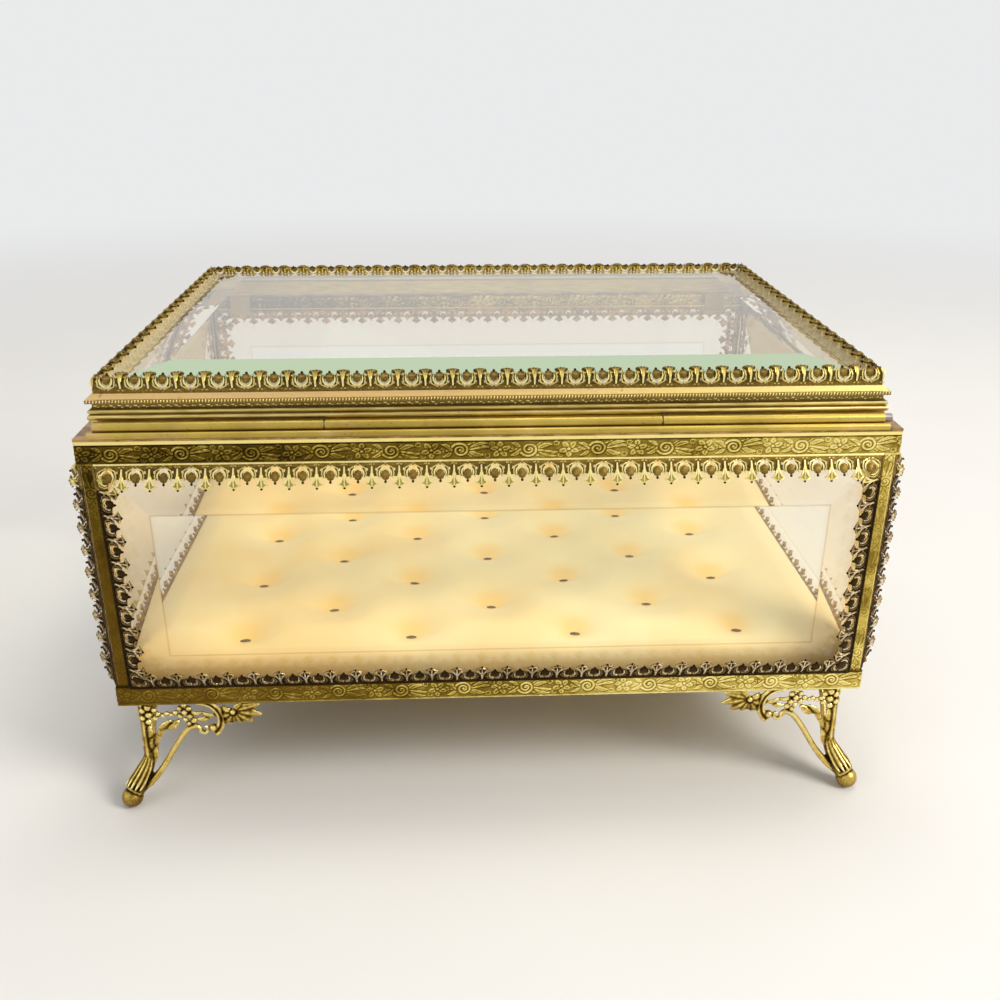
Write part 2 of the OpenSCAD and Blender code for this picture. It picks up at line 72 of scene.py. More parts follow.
class Shape:
    """Points in millimetres with faces, and a tone from 0, recess, to 1, crest."""

    def __init__(self):
        self.points, self.faces, self.tones, self.count = [], [], [], 0

    def add(self, points, faces, tone=0.5):
        points = np.asarray(points, float).reshape(-1, 3)
        self.faces += [tuple(int(i) + self.count for i in f) for f in faces]
        self.points.append(points)
        self.tones.append(np.broadcast_to(np.asarray(tone, float), len(points)))
        self.count += len(points)
        return self

    def join(self, other):
        return self.add(other.all_points(), other.faces, other.all_tones())

    def all_points(self):
        return np.concatenate(self.points)

    def all_tones(self):
        return np.concatenate(self.tones)

    def changed(self, rule, flip=False):
        """A copy with its points put through rule; flip turns its faces over."""
        out = Shape()
        faces = [f[::-1] for f in self.faces] if flip else self.faces
        return out.add(rule(self.all_points()), faces, self.all_tones())

    def mesh(self, name):
        mesh = bpy.data.meshes.new(name)
        mesh.from_pydata((self.all_points() * MM).tolist(), [], self.faces)
        tone = mesh.attributes.new("tone", "FLOAT", "POINT")
        tone.data.foreach_set("value", self.all_tones().astype(np.float32))
        return mesh

    def piece(self, name, merge=0.0, smooth=None, recalc=False):
        mesh = self.mesh(name)
        bm = bmesh.new()
        bm.from_mesh(mesh)
        if merge:
            bmesh.ops.remove_doubles(bm, verts=bm.verts, dist=merge * MM)
            bmesh.ops.dissolve_degenerate(bm, edges=bm.edges, dist=merge * MM / 10)
        if recalc:
            bmesh.ops.recalc_face_normals(bm, faces=bm.faces)
        bm.to_mesh(mesh)
        bm.free()
        return placed(mesh, name, smooth)


def placed(mesh, name, smooth=None):
    """An object at the origin for a finished mesh, smooth but for edges over an angle."""
    if smooth is not None:
        mesh.shade_smooth()
        mesh.set_sharp_from_angle(angle=math.radians(smooth))
    piece = bpy.data.objects.new(name, mesh)
    bpy.context.scene.collection.objects.link(piece)
    return piece


def shape_of(mesh):
    """A Shape read back from a Blender mesh in metres."""
    points = np.empty(len(mesh.vertices) * 3)
    mesh.vertices.foreach_get("co", points)
    tones = np.full(len(mesh.vertices), 0.5, np.float32)
    if "tone" in mesh.attributes:
        mesh.attributes["tone"].data.foreach_get("value", tones)
    faces = [tuple(p.vertices) for p in mesh.polygons]
    return Shape().add(points.reshape(-1, 3) / MM, faces, tones)


def plate(outline, hole, low, high, tone=0.3):
    """A flat washer: as many points round its hole as round its outline."""
    n = len(outline)
    rings = [np.column_stack([np.asarray(line)[:, :2], np.full(n, level)])
             for line, level in ((outline, low), (outline, high), (hole, high), (hole, low))]
    faces = [(a * n + i, a * n + (i + 1) % n, b * n + (i + 1) % n, b * n + i)
             for a, b in ((0, 1), (1, 2), (2, 3), (3, 0)) for i in range(n)]
    return Shape().add(np.vstack(rings), faces, tone)


def boss(outline, centre, low, edge, peak, tones=(0.25, 0.95)):
    """A flat-backed point, like a cut stone: an outline that rises to a peak."""
    n = len(outline)
    line = np.asarray(outline, float)[:, :2]
    points = np.vstack([np.column_stack([line, np.full(n, low)]),
                        np.column_stack([line, np.full(n, edge)]),
                        [[centre[0], centre[1], low], [centre[0], centre[1], peak]]])
    faces = []
    for i in range(n):
        j = (i + 1) % n
        faces += [(i, j, n + j, n + i), (n + i, n + j, 2 * n + 1), (j, i, 2 * n)]
    tone = np.concatenate([np.full(n, tones[0]), np.full(n, tones[0] + 0.25),
                           [tones[0], tones[1]]])
    return Shape().add(points, faces, tone)


def unit(v):
    v = np.asarray(v, float)
    return v / max(np.linalg.norm(v), 1e-9)


def tube(path, radii, sides=6, up=(0, 0, 1), flat=1.0, tone=0.6):
    """A round bar along a path. flat scales its thickness along up."""
    path = np.asarray(path, float)
    radii = np.broadcast_to(np.asarray(radii, float), len(path))
    rings, last = [], len(path) - 1
    for i, (p, r) in enumerate(zip(path, radii)):
        along = unit(path[min(i + 1, last)] - path[max(i - 1, 0)])
        side = unit(np.cross(along, up))
        lift = np.cross(side, along)
        for k in range(sides):
            a = 2 * math.pi * (k + 0.5) / sides
            rings.append(p + r * (math.cos(a) * side + flat * math.sin(a) * lift))
    faces = []
    for i in range(last):
        for k in range(sides):
            a, b = i * sides + k, i * sides + (k + 1) % sides
            faces.append((a, a + sides, b + sides, b))
    start, end = len(rings), len(rings) + 1
    rings += [path[0] - unit(path[1] - path[0]) * radii[0] * 0.4,
              path[-1] + unit(path[-1] - path[-2]) * radii[-1] * 0.4]
    top = last * sides
    for k in range(sides):
        faces.append((start, k, (k + 1) % sides))
        faces.append((end, top + (k + 1) % sides, top + k))
    return Shape().add(rings, faces, tone)


def bead(centre, radii, rows=4, sides=6, tone=0.8):
    """A rounded lump with its own radius along each axis."""
    radii = np.broadcast_to(np.asarray(radii, float), 3)
    points = [(0, 0, 1)]
    for j in range(1, rows):
        b = math.pi * j / rows
        for k in range(sides):
            a = 2 * math.pi * k / sides
            points.append((math.sin(b) * math.cos(a), math.sin(b) * math.sin(a), math.cos(b)))
    points.append((0, 0, -1))
    points = np.array(points) * radii + np.asarray(centre, float)
    faces, end = [], len(points) - 1
    for k in range(sides):
        n = (k + 1) % sides
        faces.append((0, 1 + k, 1 + n))
        for j in range(rows - 2):
            a = 1 + j * sides
            faces.append((a + k, a + sides + k, a + sides + n, a + n))
        a = 1 + (rows - 2) * sides
        faces.append((a + k, end, a + n))
    return Shape().add(points, faces, tone)


def curve(p0, p1, p2, p3, n):
    """Points of a cubic curve through its control points."""
    t = np.linspace(0, 1, n + 1)[:, None]
    s = 1 - t
    p0, p1, p2, p3 = (np.asarray(p, float) for p in (p0, p1, p2, p3))
    return s**3 * p0 + 3 * s * s * t * p1 + 3 * s * t * t * p2 + t**3 * p3


def arc(centre, r, start, end, n, z=0.0):
    """Points of an arc in degrees, flat at height z."""
    a = np.radians(np.linspace(start, end, n + 1))
    return np.stack([centre[0] + r * np.cos(a), centre[1] + r * np.sin(a),
                     np.full(n + 1, z)], 1)


# Finishes

def feed(tree, socket, value):
    """Give an input a link, or a constant of its own."""
    value = getattr(value, "socket", value)
    if isinstance(value, bpy.types.NodeSocket):
        tree.links.new(value, socket)
    else:
        socket.default_value = value


def add_node(tree, kind, settings=None, values=None):
    """A node with its settings made first, then the values or links of its inputs."""
    made = tree.nodes.new(kind)
    for key, value in (settings or {}).items():
        setattr(made, key, value)
    for key, value in (values or {}).items():
        feed(tree, made.inputs[key], value)
    return made


class Value:
    """A number that changes over a surface. Arithmetic on it adds Math nodes."""

    def __init__(self, finish, socket):
        self.finish, self.socket = finish, socket

    def __add__(self, other):
        return self.finish.maths("ADD", self, other)

    __radd__ = __add__

    def __sub__(self, other):
        return self.finish.maths("SUBTRACT", self, other)

    def __rsub__(self, other):
        return self.finish.maths("SUBTRACT", other, self)

    def __mul__(self, other):
        return self.finish.maths("MULTIPLY", self, other)

    __rmul__ = __mul__

    def between(self, low, high):
        """0 where the value is at low, 1 where it is at high, smooth between."""
        node = self.finish.node("ShaderNodeMapRange", {"interpolation_type": "SMOOTHSTEP"},
                                {0: self, 1: low, 2: high})
        return Value(self.finish, node.outputs[0])

    def above(self, limit):
        """1 where the value is over a limit, else 0."""
        return self.finish.maths("GREATER_THAN", self, limit)


class Finish:
    """A material under construction around one shader."""

    def __init__(self, name, **constants):
        self.material = bpy.data.materials.new(name)
        self.material.use_nodes = True
        self.tree = self.material.node_tree
        self.tree.nodes.clear()
        self.output = self.node("ShaderNodeOutputMaterial")
        self.shader = self.node("ShaderNodeBsdfPrincipled")
        self.show(self.shader)
        for key, value in constants.items():
            socket = key.replace("_", " ").title().replace("Ior", "IOR")
            self.put(socket, value)
        self.place = self.node("ShaderNodeTexCoord").outputs["Object"]

    def node(self, kind, settings=None, values=None):
        return add_node(self.tree, kind, settings, values)

    def put(self, name, value):
        feed(self.tree, self.shader.inputs[name], value)

    def show(self, shader):
        """Let another shader take the place of the plain one."""
        feed(self.tree, self.output.inputs[0], shader.outputs[0])

    def maths(self, operation, a, b):
        made = self.node("ShaderNodeMath", {"operation": operation}, {0: a, 1: b})
        return Value(self, made.outputs[0])

    def attribute(self, name):
        made = self.node("ShaderNodeAttribute", {"attribute_name": name})
        return Value(self, made.outputs["Fac"])

    def stretched(self, scale, turn=(0, 0, 0)):
        """Object coordinates stretched along each axis."""
        return self.node("ShaderNodeMapping", None,
                         {"Vector": self.place, "Scale": scale, "Rotation": turn}).outputs[0]

    def noise(self, size_mm, detail=3.0, rough=0.5, place=None):
        """Cloudy noise with features of about this size."""
        made = self.node("ShaderNodeTexNoise", None, {
            "Vector": place or self.place, "Scale": 1.0 / (size_mm * MM),
            "Detail": detail, "Roughness": rough})
        return Value(self, made.outputs["Fac"])

    def ramp(self, factor, *stops):
        """A colour read along stops of position and colour."""
        made = self.node("ShaderNodeValToRGB", None, {0: factor})
        marks = made.color_ramp.elements
        for number, (position, colour) in enumerate(stops):
            mark = marks[number] if number < 2 else marks.new(position)
            mark.position, mark.color = position, colour
        return made.outputs[0]

    def axis(self, number):
        """Object coordinate along X, Y or Z, in metres."""
        made = self.node("ShaderNodeSeparateXYZ", None, {0: self.place})
        return Value(self, made.outputs[number])

    def distance(self, number):
        """Distance from the middle along X, Y or Z, in metres."""
        return self.maths("ABSOLUTE", self.axis(number), 0)

    def outward(self, number, reach):
        """About 1 on faces at this reach that look away from the middle, -1 on their backs."""
        normal = self.node("ShaderNodeTexCoord").outputs["Normal"]
        parts = self.node("ShaderNodeSeparateXYZ", None, {0: normal})
        return self.axis(number) * Value(self, parts.outputs[number]) * (1 / reach)

    def mix(self, factor, a, b):
        made = self.node("ShaderNodeMix", {"data_type": "RGBA"}, {0: factor, 6: a, 7: b})
        return made.outputs[2]

    def bump(self, height, depth_mm, strength=1.0):
        made = self.node("ShaderNodeBump", None, {
            "Height": height, "Distance": depth_mm * MM, "Strength": strength})
        self.put("Normal", made.outputs[0])

    def colour(self, value):
        self.put("Base Color", value)

    def metallic(self, value):
        self.put("Metallic", value)

    def roughness(self, value):
        self.put("Roughness", value)


def rgb(r, g, b):
    """A linear colour from its values on screen, 0 to 255."""
    def linear(v):
        v /= 255
        return v / 12.92 if v <= 0.04045 else ((v + 0.055) / 1.055) ** 2.4
    return (linear(r), linear(g), linear(b), 1.0)


# BRIGHT gives painted highlight lines and SILVER painted silvery highlights on the lid's moulding.
BRIGHT = rgb(240, 218, 142)
GOLD = rgb(196, 172, 86)
PEACH = rgb(218, 184, 128)
OLIVE = rgb(134, 108, 42)
DARK = rgb(60, 44, 18)
SILVER = rgb(206, 200, 190)


def tarnish_and_shade(f):
    """How far the gilding has dulled: cloudy patina, plus painted shade that grows towards the left
    and the feet.
    """
    # Painted shade: darker towards the left side and down towards the feet.
    painted_side_shade = f.axis(0).between(0.05, -0.1) * 0.22 + f.axis(2).between(0.07, 0.02) * 0.14
    return f.noise(26, 4, 0.6).between(0.38, 0.68) * 0.6 + painted_side_shade


def gilt(name, peach=0.25, age=0.4, rough=0.3, grain=(1, 1, 1)):
    """Worn gilding on plain brass sheet, with cloudy patina, painted shade towards the left and the
    feet, and fine scratches.
    """
    f = Finish(name, metallic=1.0)
    dull = tarnish_and_shade(f)
    spots = f.noise(1.6, 4, 0.65)
    fine = f.noise(0.25, 2, 0.5, f.stretched(grain))
    base = f.mix(f.noise(9, 3).between(0.6 - 0.3 * peach, 0.85 - 0.3 * peach), GOLD, PEACH)
    base = f.mix(dull * (0.5 + age * 0.5) + spots.between(0.55, 0.72) * 0.3 * age, base, OLIVE)
    base = f.mix(f.noise(0.7, 3, 0.6).between(0.64, 0.72) * age, base, DARK)
    f.colour(base)
    f.roughness(rough + spots * 0.18 + dull * 0.12)
    f.bump(fine * 0.5 + spots * 0.5, 0.03)
    return f.material


def moulded_gilt(name):
    """The lid's moulding: peach gilding on its slope, olive patina in its hollows, painted
    highlights, and painted light that makes it pale inside.
    """
    f = Finish(name, metallic=1.0)
    z = f.axis(2)
    dull = tarnish_and_shade(f)
    spots = f.noise(1.4, 4, 0.65)
    streak = f.noise(0.35, 3, 0.55, f.stretched((0.06, 0.06, 1)))
    slope = z.between(0.1030, 0.1034)
    hollow = z.between(0.1011, 0.1015) * (1 - z.between(0.1024, 0.1028))
    seam = z.between(0.09995, 0.10025) * (1 - z.between(0.1004, 0.1007))
    peach = f.mix(f.axis(0).between(-0.03, 0.085), rgb(226, 188, 128), rgb(226, 206, 126))
    # Streaks of BRIGHT round the mouldings are painted highlight lines.
    base = f.mix(slope * 0.9, f.mix(streak.between(0.4, 0.62), BRIGHT, rgb(206, 182, 108)), peach)
    base = f.mix(dull * (0.7 - slope * 0.4), base, OLIVE)
    base = f.mix(hollow * 0.85 + seam * 0.6, base, rgb(92, 74, 24))
    milled = z.between(0.10265, 0.1028) * (1 - z.between(0.10345, 0.10365))
    base = f.mix(milled * 0.8, base, rgb(96, 70, 26))
    base = f.mix(spots.between(0.6, 0.74) * 0.4, base, DARK)
    # Silvery patches at random on the lower mouldings: painted highlights.
    base = f.mix(f.noise(2.6, 3, 0.7).between(0.66, 0.74) * (1 - slope) * 0.5, base, SILVER)
    # Inner faces and the inner ledge: painted light, pale and less metallic.
    inner = f.distance(0).between(0.0833, 0.0831) * f.distance(1).between(0.0578, 0.0576)
    ledge = f.distance(0).between(0.0843, 0.0841) * f.distance(1).between(0.0595, 0.0593)
    ledge = ledge * z.between(0.1029, 0.1031)
    inner = f.maths("MAXIMUM", inner, ledge)
    f.colour(f.mix(inner, base, f.mix(streak, rgb(240, 228, 200), rgb(224, 208, 170))))
    f.metallic(1 - inner * 0.7)
    f.roughness(0.24 + spots * 0.2 + dull * 0.1 + inner * 0.2)
    f.bump(streak * 0.5 + spots * 0.5, 0.03)
    return f.material


def rim_finish(name):
    """The rolled rim under the lid: a rosy upper face and a painted highlight along its lower edge.
    """
    f = Finish(name, metallic=1.0)
    z = f.axis(2)
    cloud = f.noise(6, 4, 0.65)
    scratch = f.noise(0.3, 3, 0.55, f.stretched((0.08, 0.08, 1)))
    rosy = f.mix(cloud.between(0.4, 0.62), rgb(182, 146, 100), rgb(122, 98, 48))
    # A bright line along the lower edge: painted highlight.
    base = f.mix(z.between(0.09545, 0.09525), rosy, rgb(246, 226, 144))
    base = f.mix(scratch.between(0.6, 0.7) * 0.35, base, DARK)
    f.colour(base)
    f.roughness(0.26 + cloud * 0.2)
    f.bump(scratch, 0.03)
    return f.material


def band_finish(name):
    """Embossed strip with painted light: dark olive with painted highlights on its edges at the left,
    pale with dark lines at the right, browner and flatter in painted shade at the lower left.
    """
    f = Finish(name, metallic=1.0)
    spots = f.noise(0.9, 4, 0.65)
    dull = tarnish_and_shade(f)
    # Painted light: paler towards the right and on the lower band, with a cloudy variation on top.
    painted_light_and_cloud = f.axis(0).between(-0.09, 0.07) * 0.36 + f.axis(2).between(0.04, 0.03) * 0.1
    painted_light_and_cloud = painted_light_and_cloud + f.noise(5.5, 3, 0.6) * 0.7 - 0.35
    # Painted shade at the lower left: browner, with a flatter pattern.
    shaded_low_left = f.axis(0).between(0.01, -0.075) * f.axis(2).between(0.088, 0.06)
    drawn = (f.attribute("tone") - 0.4) * (1 - shaded_low_left * 0.45) + 0.4
    tone = drawn + spots * 0.26 - 0.13 - dull * 0.14 - 0.16 + painted_light_and_cloud
    base = f.ramp(tone, (0.0, rgb(46, 34, 10)), (0.24, rgb(98, 78, 22)), (0.44, rgb(136, 114, 42)),
                  (0.66, rgb(208, 184, 92)), (0.95, rgb(252, 238, 160)))
    base = f.mix(f.noise(4, 4, 0.6).between(0.58, 0.74) * 0.35, base, rgb(112, 80, 34))
    base = f.mix(shaded_low_left * tone.between(0.75, 0.3) * 0.4, base, rgb(116, 84, 20))
    base = f.mix(spots.between(0.62, 0.75) * 0.4, base, DARK)
    f.colour(base)
    f.roughness(0.22 + tone.between(0.9, 0.2) * 0.2 + spots * 0.1)
    f.bump(spots, 0.04)
    return f.material


def filigree_finish(name):
    """Openwork strip: olive gilding, and below the top strips painted shade that makes it nearly
    black, with worn knobs.

    The backs of the body's strips, seen through the glass, are a plain brown and less metallic:
    painted light. Those of the lid's end strips stand over its glass and are painted as pale as that:
    painted light as well.
    """
    f = Finish(name, metallic=1.0)
    spots = f.noise(0.8, 4, 0.65)
    fine = f.noise(0.36, 2, 0.6)
    dull = tarnish_and_shade(f)
    tone = f.attribute("tone") + spots * 0.42 + fine * 0.3 - 0.36 - dull * 0.12
    olive = f.ramp(tone, (0.1, rgb(54, 40, 16)), (0.36, rgb(128, 104, 48)), (0.62, rgb(190, 168, 88)),
                   (0.92, rgb(252, 236, 160)))
    black = f.ramp(tone, (0.34, rgb(34, 22, 10)), (0.66, rgb(80, 56, 26)), (0.84, rgb(146, 116, 74)),
                   (0.97, rgb(246, 230, 200)))
    # Painted shade on the strips below the top ones: a darker copy of the olive gilding.
    lower_strip_shade = f.axis(2).between(0.0850, 0.0838)
    on_end = f.distance(0).between(0.0884, 0.0886)
    outwards = on_end * f.outward(0, 0.0893) + (1 - on_end) * f.outward(1, 0.0637)
    # The backs of the body's strips are painted light brown and less metallic: painted light.
    back = outwards.between(-0.3, -0.5) * f.axis(2).between(0.0985, 0.098)
    brown = f.mix(f.noise(2.2, 4, 0.6).between(0.36, 0.62), rgb(204, 166, 98), rgb(124, 88, 42))
    on_lid_end = f.distance(0).between(0.0825, 0.0828) * f.axis(2).between(0.1025, 0.103)
    on_lid_end = on_lid_end * f.axis(2).between(0.1077, 0.1072)
    # The backs of the lid's end strips are painted pale and less metallic: painted light.
    pale = (on_lid_end * f.outward(0, 0.0833)).between(-0.3, -0.5) * 0.85
    base = f.mix(back, f.mix(lower_strip_shade * 0.9, olive, black), brown)
    f.colour(f.mix(pale, base, rgb(224, 208, 180)))
    f.metallic(1 - back * 0.75 - pale * 0.8)
    f.roughness(0.26 + tone.between(0.9, 0.3) * 0.22 + spots * 0.1)
    f.bump(spots, 0.04)
    return f.material


def cast_finish(name):
    """Gilt casting: black in its recesses, rubbed bright on its crests, reddish brown towards the
    very bottom, with painted shade towards the left and the feet.
    """
    f = Finish(name, metallic=1.0)
    spots = f.noise(1.1, 4, 0.65)
    tone = f.attribute("tone") + spots * 0.3 - 0.15 - tarnish_and_shade(f) * 0.16
    base = f.ramp(tone, (0.2, rgb(40, 28, 10)), (0.44, rgb(120, 94, 34)), (0.64, rgb(206, 176, 88)),
                  (0.88, rgb(252, 236, 162)))
    # Reddish brown towards the very bottom of the feet.
    base = f.mix(f.axis(2).between(0.0042, 0.001) * 0.55, base, rgb(112, 68, 30))
    f.colour(f.mix(spots.between(0.6, 0.75) * 0.4, base, DARK))
    f.roughness(0.2 + tone.between(0.9, 0.2) * 0.2 + spots * 0.1)
    f.bump(spots, 0.04)
    return f.material


def inner_field(f, more):
    """1 inside the flat middle of a body pane, made larger all round by some metres."""
    x, y = f.distance(0), f.distance(1)
    long_pane = y.above(0.057)
    across = long_pane * x + (1 - long_pane) * (y + 0.0277)
    inside = across.between(0.0751 + more, 0.0749 + more)
    inside = inside * f.axis(2).between(0.0427 - more, 0.0429 - more)
    return inside * f.axis(2).between(0.0784 + more, 0.0782 + more)


def glass_finish(name, edge, bevel_reflection):
    """Clear plate glass, which lets the lamps through.

    Light that is caught between its faces leaves after a few turns, in the edge's tint.
    A body pane's bevels are painted a little warmer, as a painted reflection, and a fine painted line
    parts them from its flat middle.
    """
    f = Finish(name, transmission_weight=1.0, roughness=0.0, ior=1.5)
    smudge = f.noise(30, 3, 0.6)
    base = f.mix(smudge, rgb(254, 254, 252), rgb(252, 253, 250))
    if bevel_reflection:
        # Painted reflection: a warmer tint on the bevels, and a fine line at their inner edge.
        base = f.mix(1 - inner_field(f, 0), base, rgb(250, 245, 236))
        line = inner_field(f, 0.0002) * (1 - inner_field(f, -0.0002))
        outer = f.maths("MAXIMUM", f.distance(0).above(0.0878), f.distance(1).above(0.062))
        base = f.mix(line * outer * 0.8, base, rgb(216, 194, 160))
    f.colour(base)
    clear = f.node("ShaderNodeBsdfTransparent", None, {"Color": rgb(253, 253, 250)})
    caught = f.node("ShaderNodeBsdfTransparent", None, {"Color": edge})
    path = f.node("ShaderNodeLightPath")
    inside = f.node("ShaderNodeNewGeometry").outputs["Backfacing"]
    turns = Value(f, path.outputs["Ray Depth"]).above(3.5)
    body = f.node("ShaderNodeMixShader", None, {
        0: turns * Value(f, inside), 1: f.shader.outputs[0], 2: caught.outputs[0]})
    for kind in ("Is Diffuse Ray", "Is Shadow Ray"):
        body = f.node("ShaderNodeMixShader", None, {
            0: path.outputs[kind], 1: body.outputs[0], 2: clear.outputs[0]})
    f.show(body)
    return f.material


def satin_finish(name):
    """Cream satin: a fine rib, soft sheen, and painted shade: more peach towards the left, a deeper
    yellow shadow round its tufts and dark brown in their creases.
    """
    f = Finish(name, sheen_weight=0.3, sheen_roughness=0.4, specular_ior_level=0.35)
    cloud = f.noise(30, 4, 0.55)
    thread = f.noise(0.22, 2, 0.5, f.stretched((1, 0.12, 1)))
    slub = f.noise(2.4, 3, 0.6, f.stretched((0.25, 1, 1)))
    tone = f.attribute("tone")
    # Painted shade: more peach towards the left.
    left = f.axis(0).between(0.03, -0.08) * 0.5
    base = f.mix(cloud.between(0.35, 0.68) * 0.6 + left, rgb(254, 235, 178), rgb(251, 216, 142))
    base = f.mix(thread.between(0.3, 0.8) * 0.12, base, rgb(232, 196, 140))
    # Painted shadow: deeper yellow round each tuft, and dark brown painted shade in its crease.
    base = f.mix(tone.between(0.98, 0.4) * 0.65, base, rgb(250, 200, 96))
    base = f.mix(tone.between(0.32, 0.0) * 0.85, base, rgb(112, 76, 36))
    f.colour(base)
    f.roughness(0.42 + slub * 0.2)
    f.bump(thread * 0.6 + slub * 0.4, 0.05, 0.6)
    return f.material


def thread_finish(name):
    f = Finish(name, sheen_weight=0.3)
    twist = f.noise(0.2, 2, 0.5, f.stretched((1, 1, 0.3)))
    f.colour(f.mix(twist, rgb(80, 58, 20), rgb(124, 94, 36)))
    f.roughness(0.6 + twist * 0.3)
    f.bump(twist, 0.05)
    return f.material


def card_finish(name):
    f = Finish(name)
    pulp = f.noise(0.8, 4, 0.6)
    f.colour(f.mix(pulp, rgb(196, 172, 132), rgb(168, 142, 102)))
    f.roughness(0.75 + pulp * 0.2)
    f.bump(pulp, 0.06)
    return f.material


def steel_finish(name):
    f = Finish(name, metallic=1.0)
    brushed = f.noise(0.5, 3, 0.6, f.stretched((0.2, 1, 1)))
    f.colour(f.mix(brushed, rgb(160, 148, 144), rgb(124, 114, 108)))
    f.roughness(0.25 + brushed * 0.25)
    f.bump(brushed, 0.02)
    return f.material


FINISH = {
    "sheet": gilt("gilt_sheet_brass", 0.25, 0.55, 0.26, (0.15, 1, 1)),
    "lid": moulded_gilt("peach_gilt_moulding"),
    "dull": gilt("dull_inner_brass", 0.1, 0.8, 0.42),
    "rim": rim_finish("rosy_gilt_rim"),
    "embossed": band_finish("embossed_gilt_strip"),
    "filigree": filigree_finish("oxidised_and_shaded_filigree"),
    "cast": cast_finish("gilt_cast_feet"),
    "glass": glass_finish("bevelled_plate_glass", rgb(222, 206, 166), True),
    "lid_glass": glass_finish("green_edged_lid_glass", rgb(204, 226, 186), False),
    "satin": satin_finish("cream_satin"),
    "thread": thread_finish("brown_thread"),
    "card": card_finish("plain_card"),
    "steel": steel_finish("dull_steel_pin"),
}


def finish_piece(piece, finish, body, slot, *nodes):
    """Give a finished piece its material and its body, and hide the CAD nodes it stands for."""
    piece.data.materials.clear()
    piece.data.materials.append(FINISH[finish])
    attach(piece, body)
    if nodes:
        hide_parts(*nodes)


# Node trees

class Tree:
    """A Geometry Nodes tree with named inputs, run once on a helper object."""

    def __init__(self, name, inputs):
        self.group = bpy.data.node_groups.new(name, "GeometryNodeTree")
        face = self.group.interface
        face.new_socket(name="Geometry", in_out="OUTPUT", socket_type="NodeSocketGeometry")
        for key, kind in inputs.items():
            face.new_socket(name=key, in_out="INPUT", socket_type=kind)
        self.source = self.group.nodes.new("NodeGroupInput")
        self.result = self.group.nodes.new("NodeGroupOutput")

    def node(self, kind, settings=None, values=None):
        return add_node(self.group, kind, settings, values)

    def given(self, key):
        return self.source.outputs[key]

    def maths(self, operation, a, b):
        return self.node("ShaderNodeMath", {"operation": operation}, {0: a, 1: b}).outputs[0]

    def vector(self, values):
        return self.node("ShaderNodeCombineXYZ", None, values).outputs[0]

    def chance(self, low, high, seed):
        """A random number for each point, the same each time."""
        made = self.node("FunctionNodeRandomValue", {"data_type": "FLOAT"},
                         {2: low, 3: high, "Seed": seed})
        return made.outputs[1]

    def end(self, points, **settings):
        """Close the tree: the motif on each point, as real geometry with its material."""
        motif = self.node("GeometryNodeObjectInfo", None,
                          {"Object": self.given("Motif"), "As Instance": True})
        row = self.node("GeometryNodeInstanceOnPoints", None, {
            "Points": points, "Instance": motif.outputs["Geometry"], **settings})
        real = self.node("GeometryNodeRealizeInstances", None, {0: row.outputs[0]})
        done = self.node("GeometryNodeSetMaterial", None, {
            "Geometry": real.outputs[0], "Material": self.given("Finish")})
        self.group.links.new(done.outputs[0], self.result.inputs[0])

    def run(self, name, **values):
        """A plain mesh made by the tree with these input values."""
        host = bpy.data.objects.new(name, bpy.data.meshes.new(name))
        bpy.context.scene.collection.objects.link(host)
        modifier = host.modifiers.new(name, "NODES")
        modifier.node_group = self.group
        for item in self.group.interface.items_tree:
            if item.in_out == "INPUT" and item.name in values:
                modifier[item.identifier] = values[item.name]
        graph = bpy.context.evaluated_depsgraph_get()
        mesh = bpy.data.meshes.new_from_object(host.evaluated_get(graph))
        bpy.data.objects.remove(host)
        return mesh


def repeat_tree():
    """One motif repeated in a row along X, centred on the origin."""
    t = Tree("repeat_in_a_row", {
        "Motif": "NodeSocketObject", "Count": "NodeSocketInt",
        "Pitch": "NodeSocketFloat", "Jitter": "NodeSocketFloat",
        "Finish": "NodeSocketMaterial"})
    pitch = t.given("Pitch")
    span = t.maths("MULTIPLY", t.maths("SUBTRACT", t.given("Count"), 1.0), pitch)
    row = t.node("GeometryNodeMeshLine", None, {
        "Count": t.given("Count"), "Start Location": t.vector({0: t.maths("MULTIPLY", span, -0.5)}),
        "Offset": t.vector({0: pitch})})
    sway = t.maths("MULTIPLY", t.chance(-1.0, 1.0, 11), t.given("Jitter"))
    t.end(row.outputs[0], Rotation=t.vector({1: sway}), Scale=t.maths("ADD", sway, 1.0))
    return t


def on_points_tree():
    """A motif set on each point of a mesh."""
    t = Tree("motif_on_points", {
        "Motif": "NodeSocketObject", "Places": "NodeSocketObject",
        "Finish": "NodeSocketMaterial"})
    places = t.node("GeometryNodeObjectInfo", None, {"Object": t.given("Places")})
    t.end(places.outputs["Geometry"], Rotation=t.vector({2: t.chance(-0.16, 0.16, 7)}))
    return t


ROW, POINTS = repeat_tree(), on_points_tree()


def helper(shape, name):
    """A helper object for a node tree; it is removed after use."""
    obj = bpy.data.objects.new(name, shape.mesh(name))
    bpy.context.scene.collection.objects.link(obj)
    return obj


def row_of(motif, count, pitch, jitter=0.0):
    """A row of copies of a helper object, read back as a Shape; the pitch is in millimetres."""
    mesh = ROW.run("row", Motif=motif, Count=count, Pitch=pitch * MM, Jitter=jitter,
                   Finish=FINISH["filigree"])
    row = shape_of(mesh)
    bpy.data.meshes.remove(mesh)
    return row


def around(turn, reach):
    """The rule that takes a strip along X to one of the four sides, at a reach from the middle."""
    c, s = QUARTERS[turn]
    return lambda p: np.stack([p[:, 0] * c - (p[:, 1] - reach) * s,
                               p[:, 0] * s + (p[:, 1] - reach) * c, p[:, 2]], 1)


def stood_up(level):
    """The rule that stands a flat drawing up, its face outwards and its middle at a level."""
    return lambda p: np.stack([p[:, 0], -p[:, 2], p[:, 1] + level], 1)


# Filigree

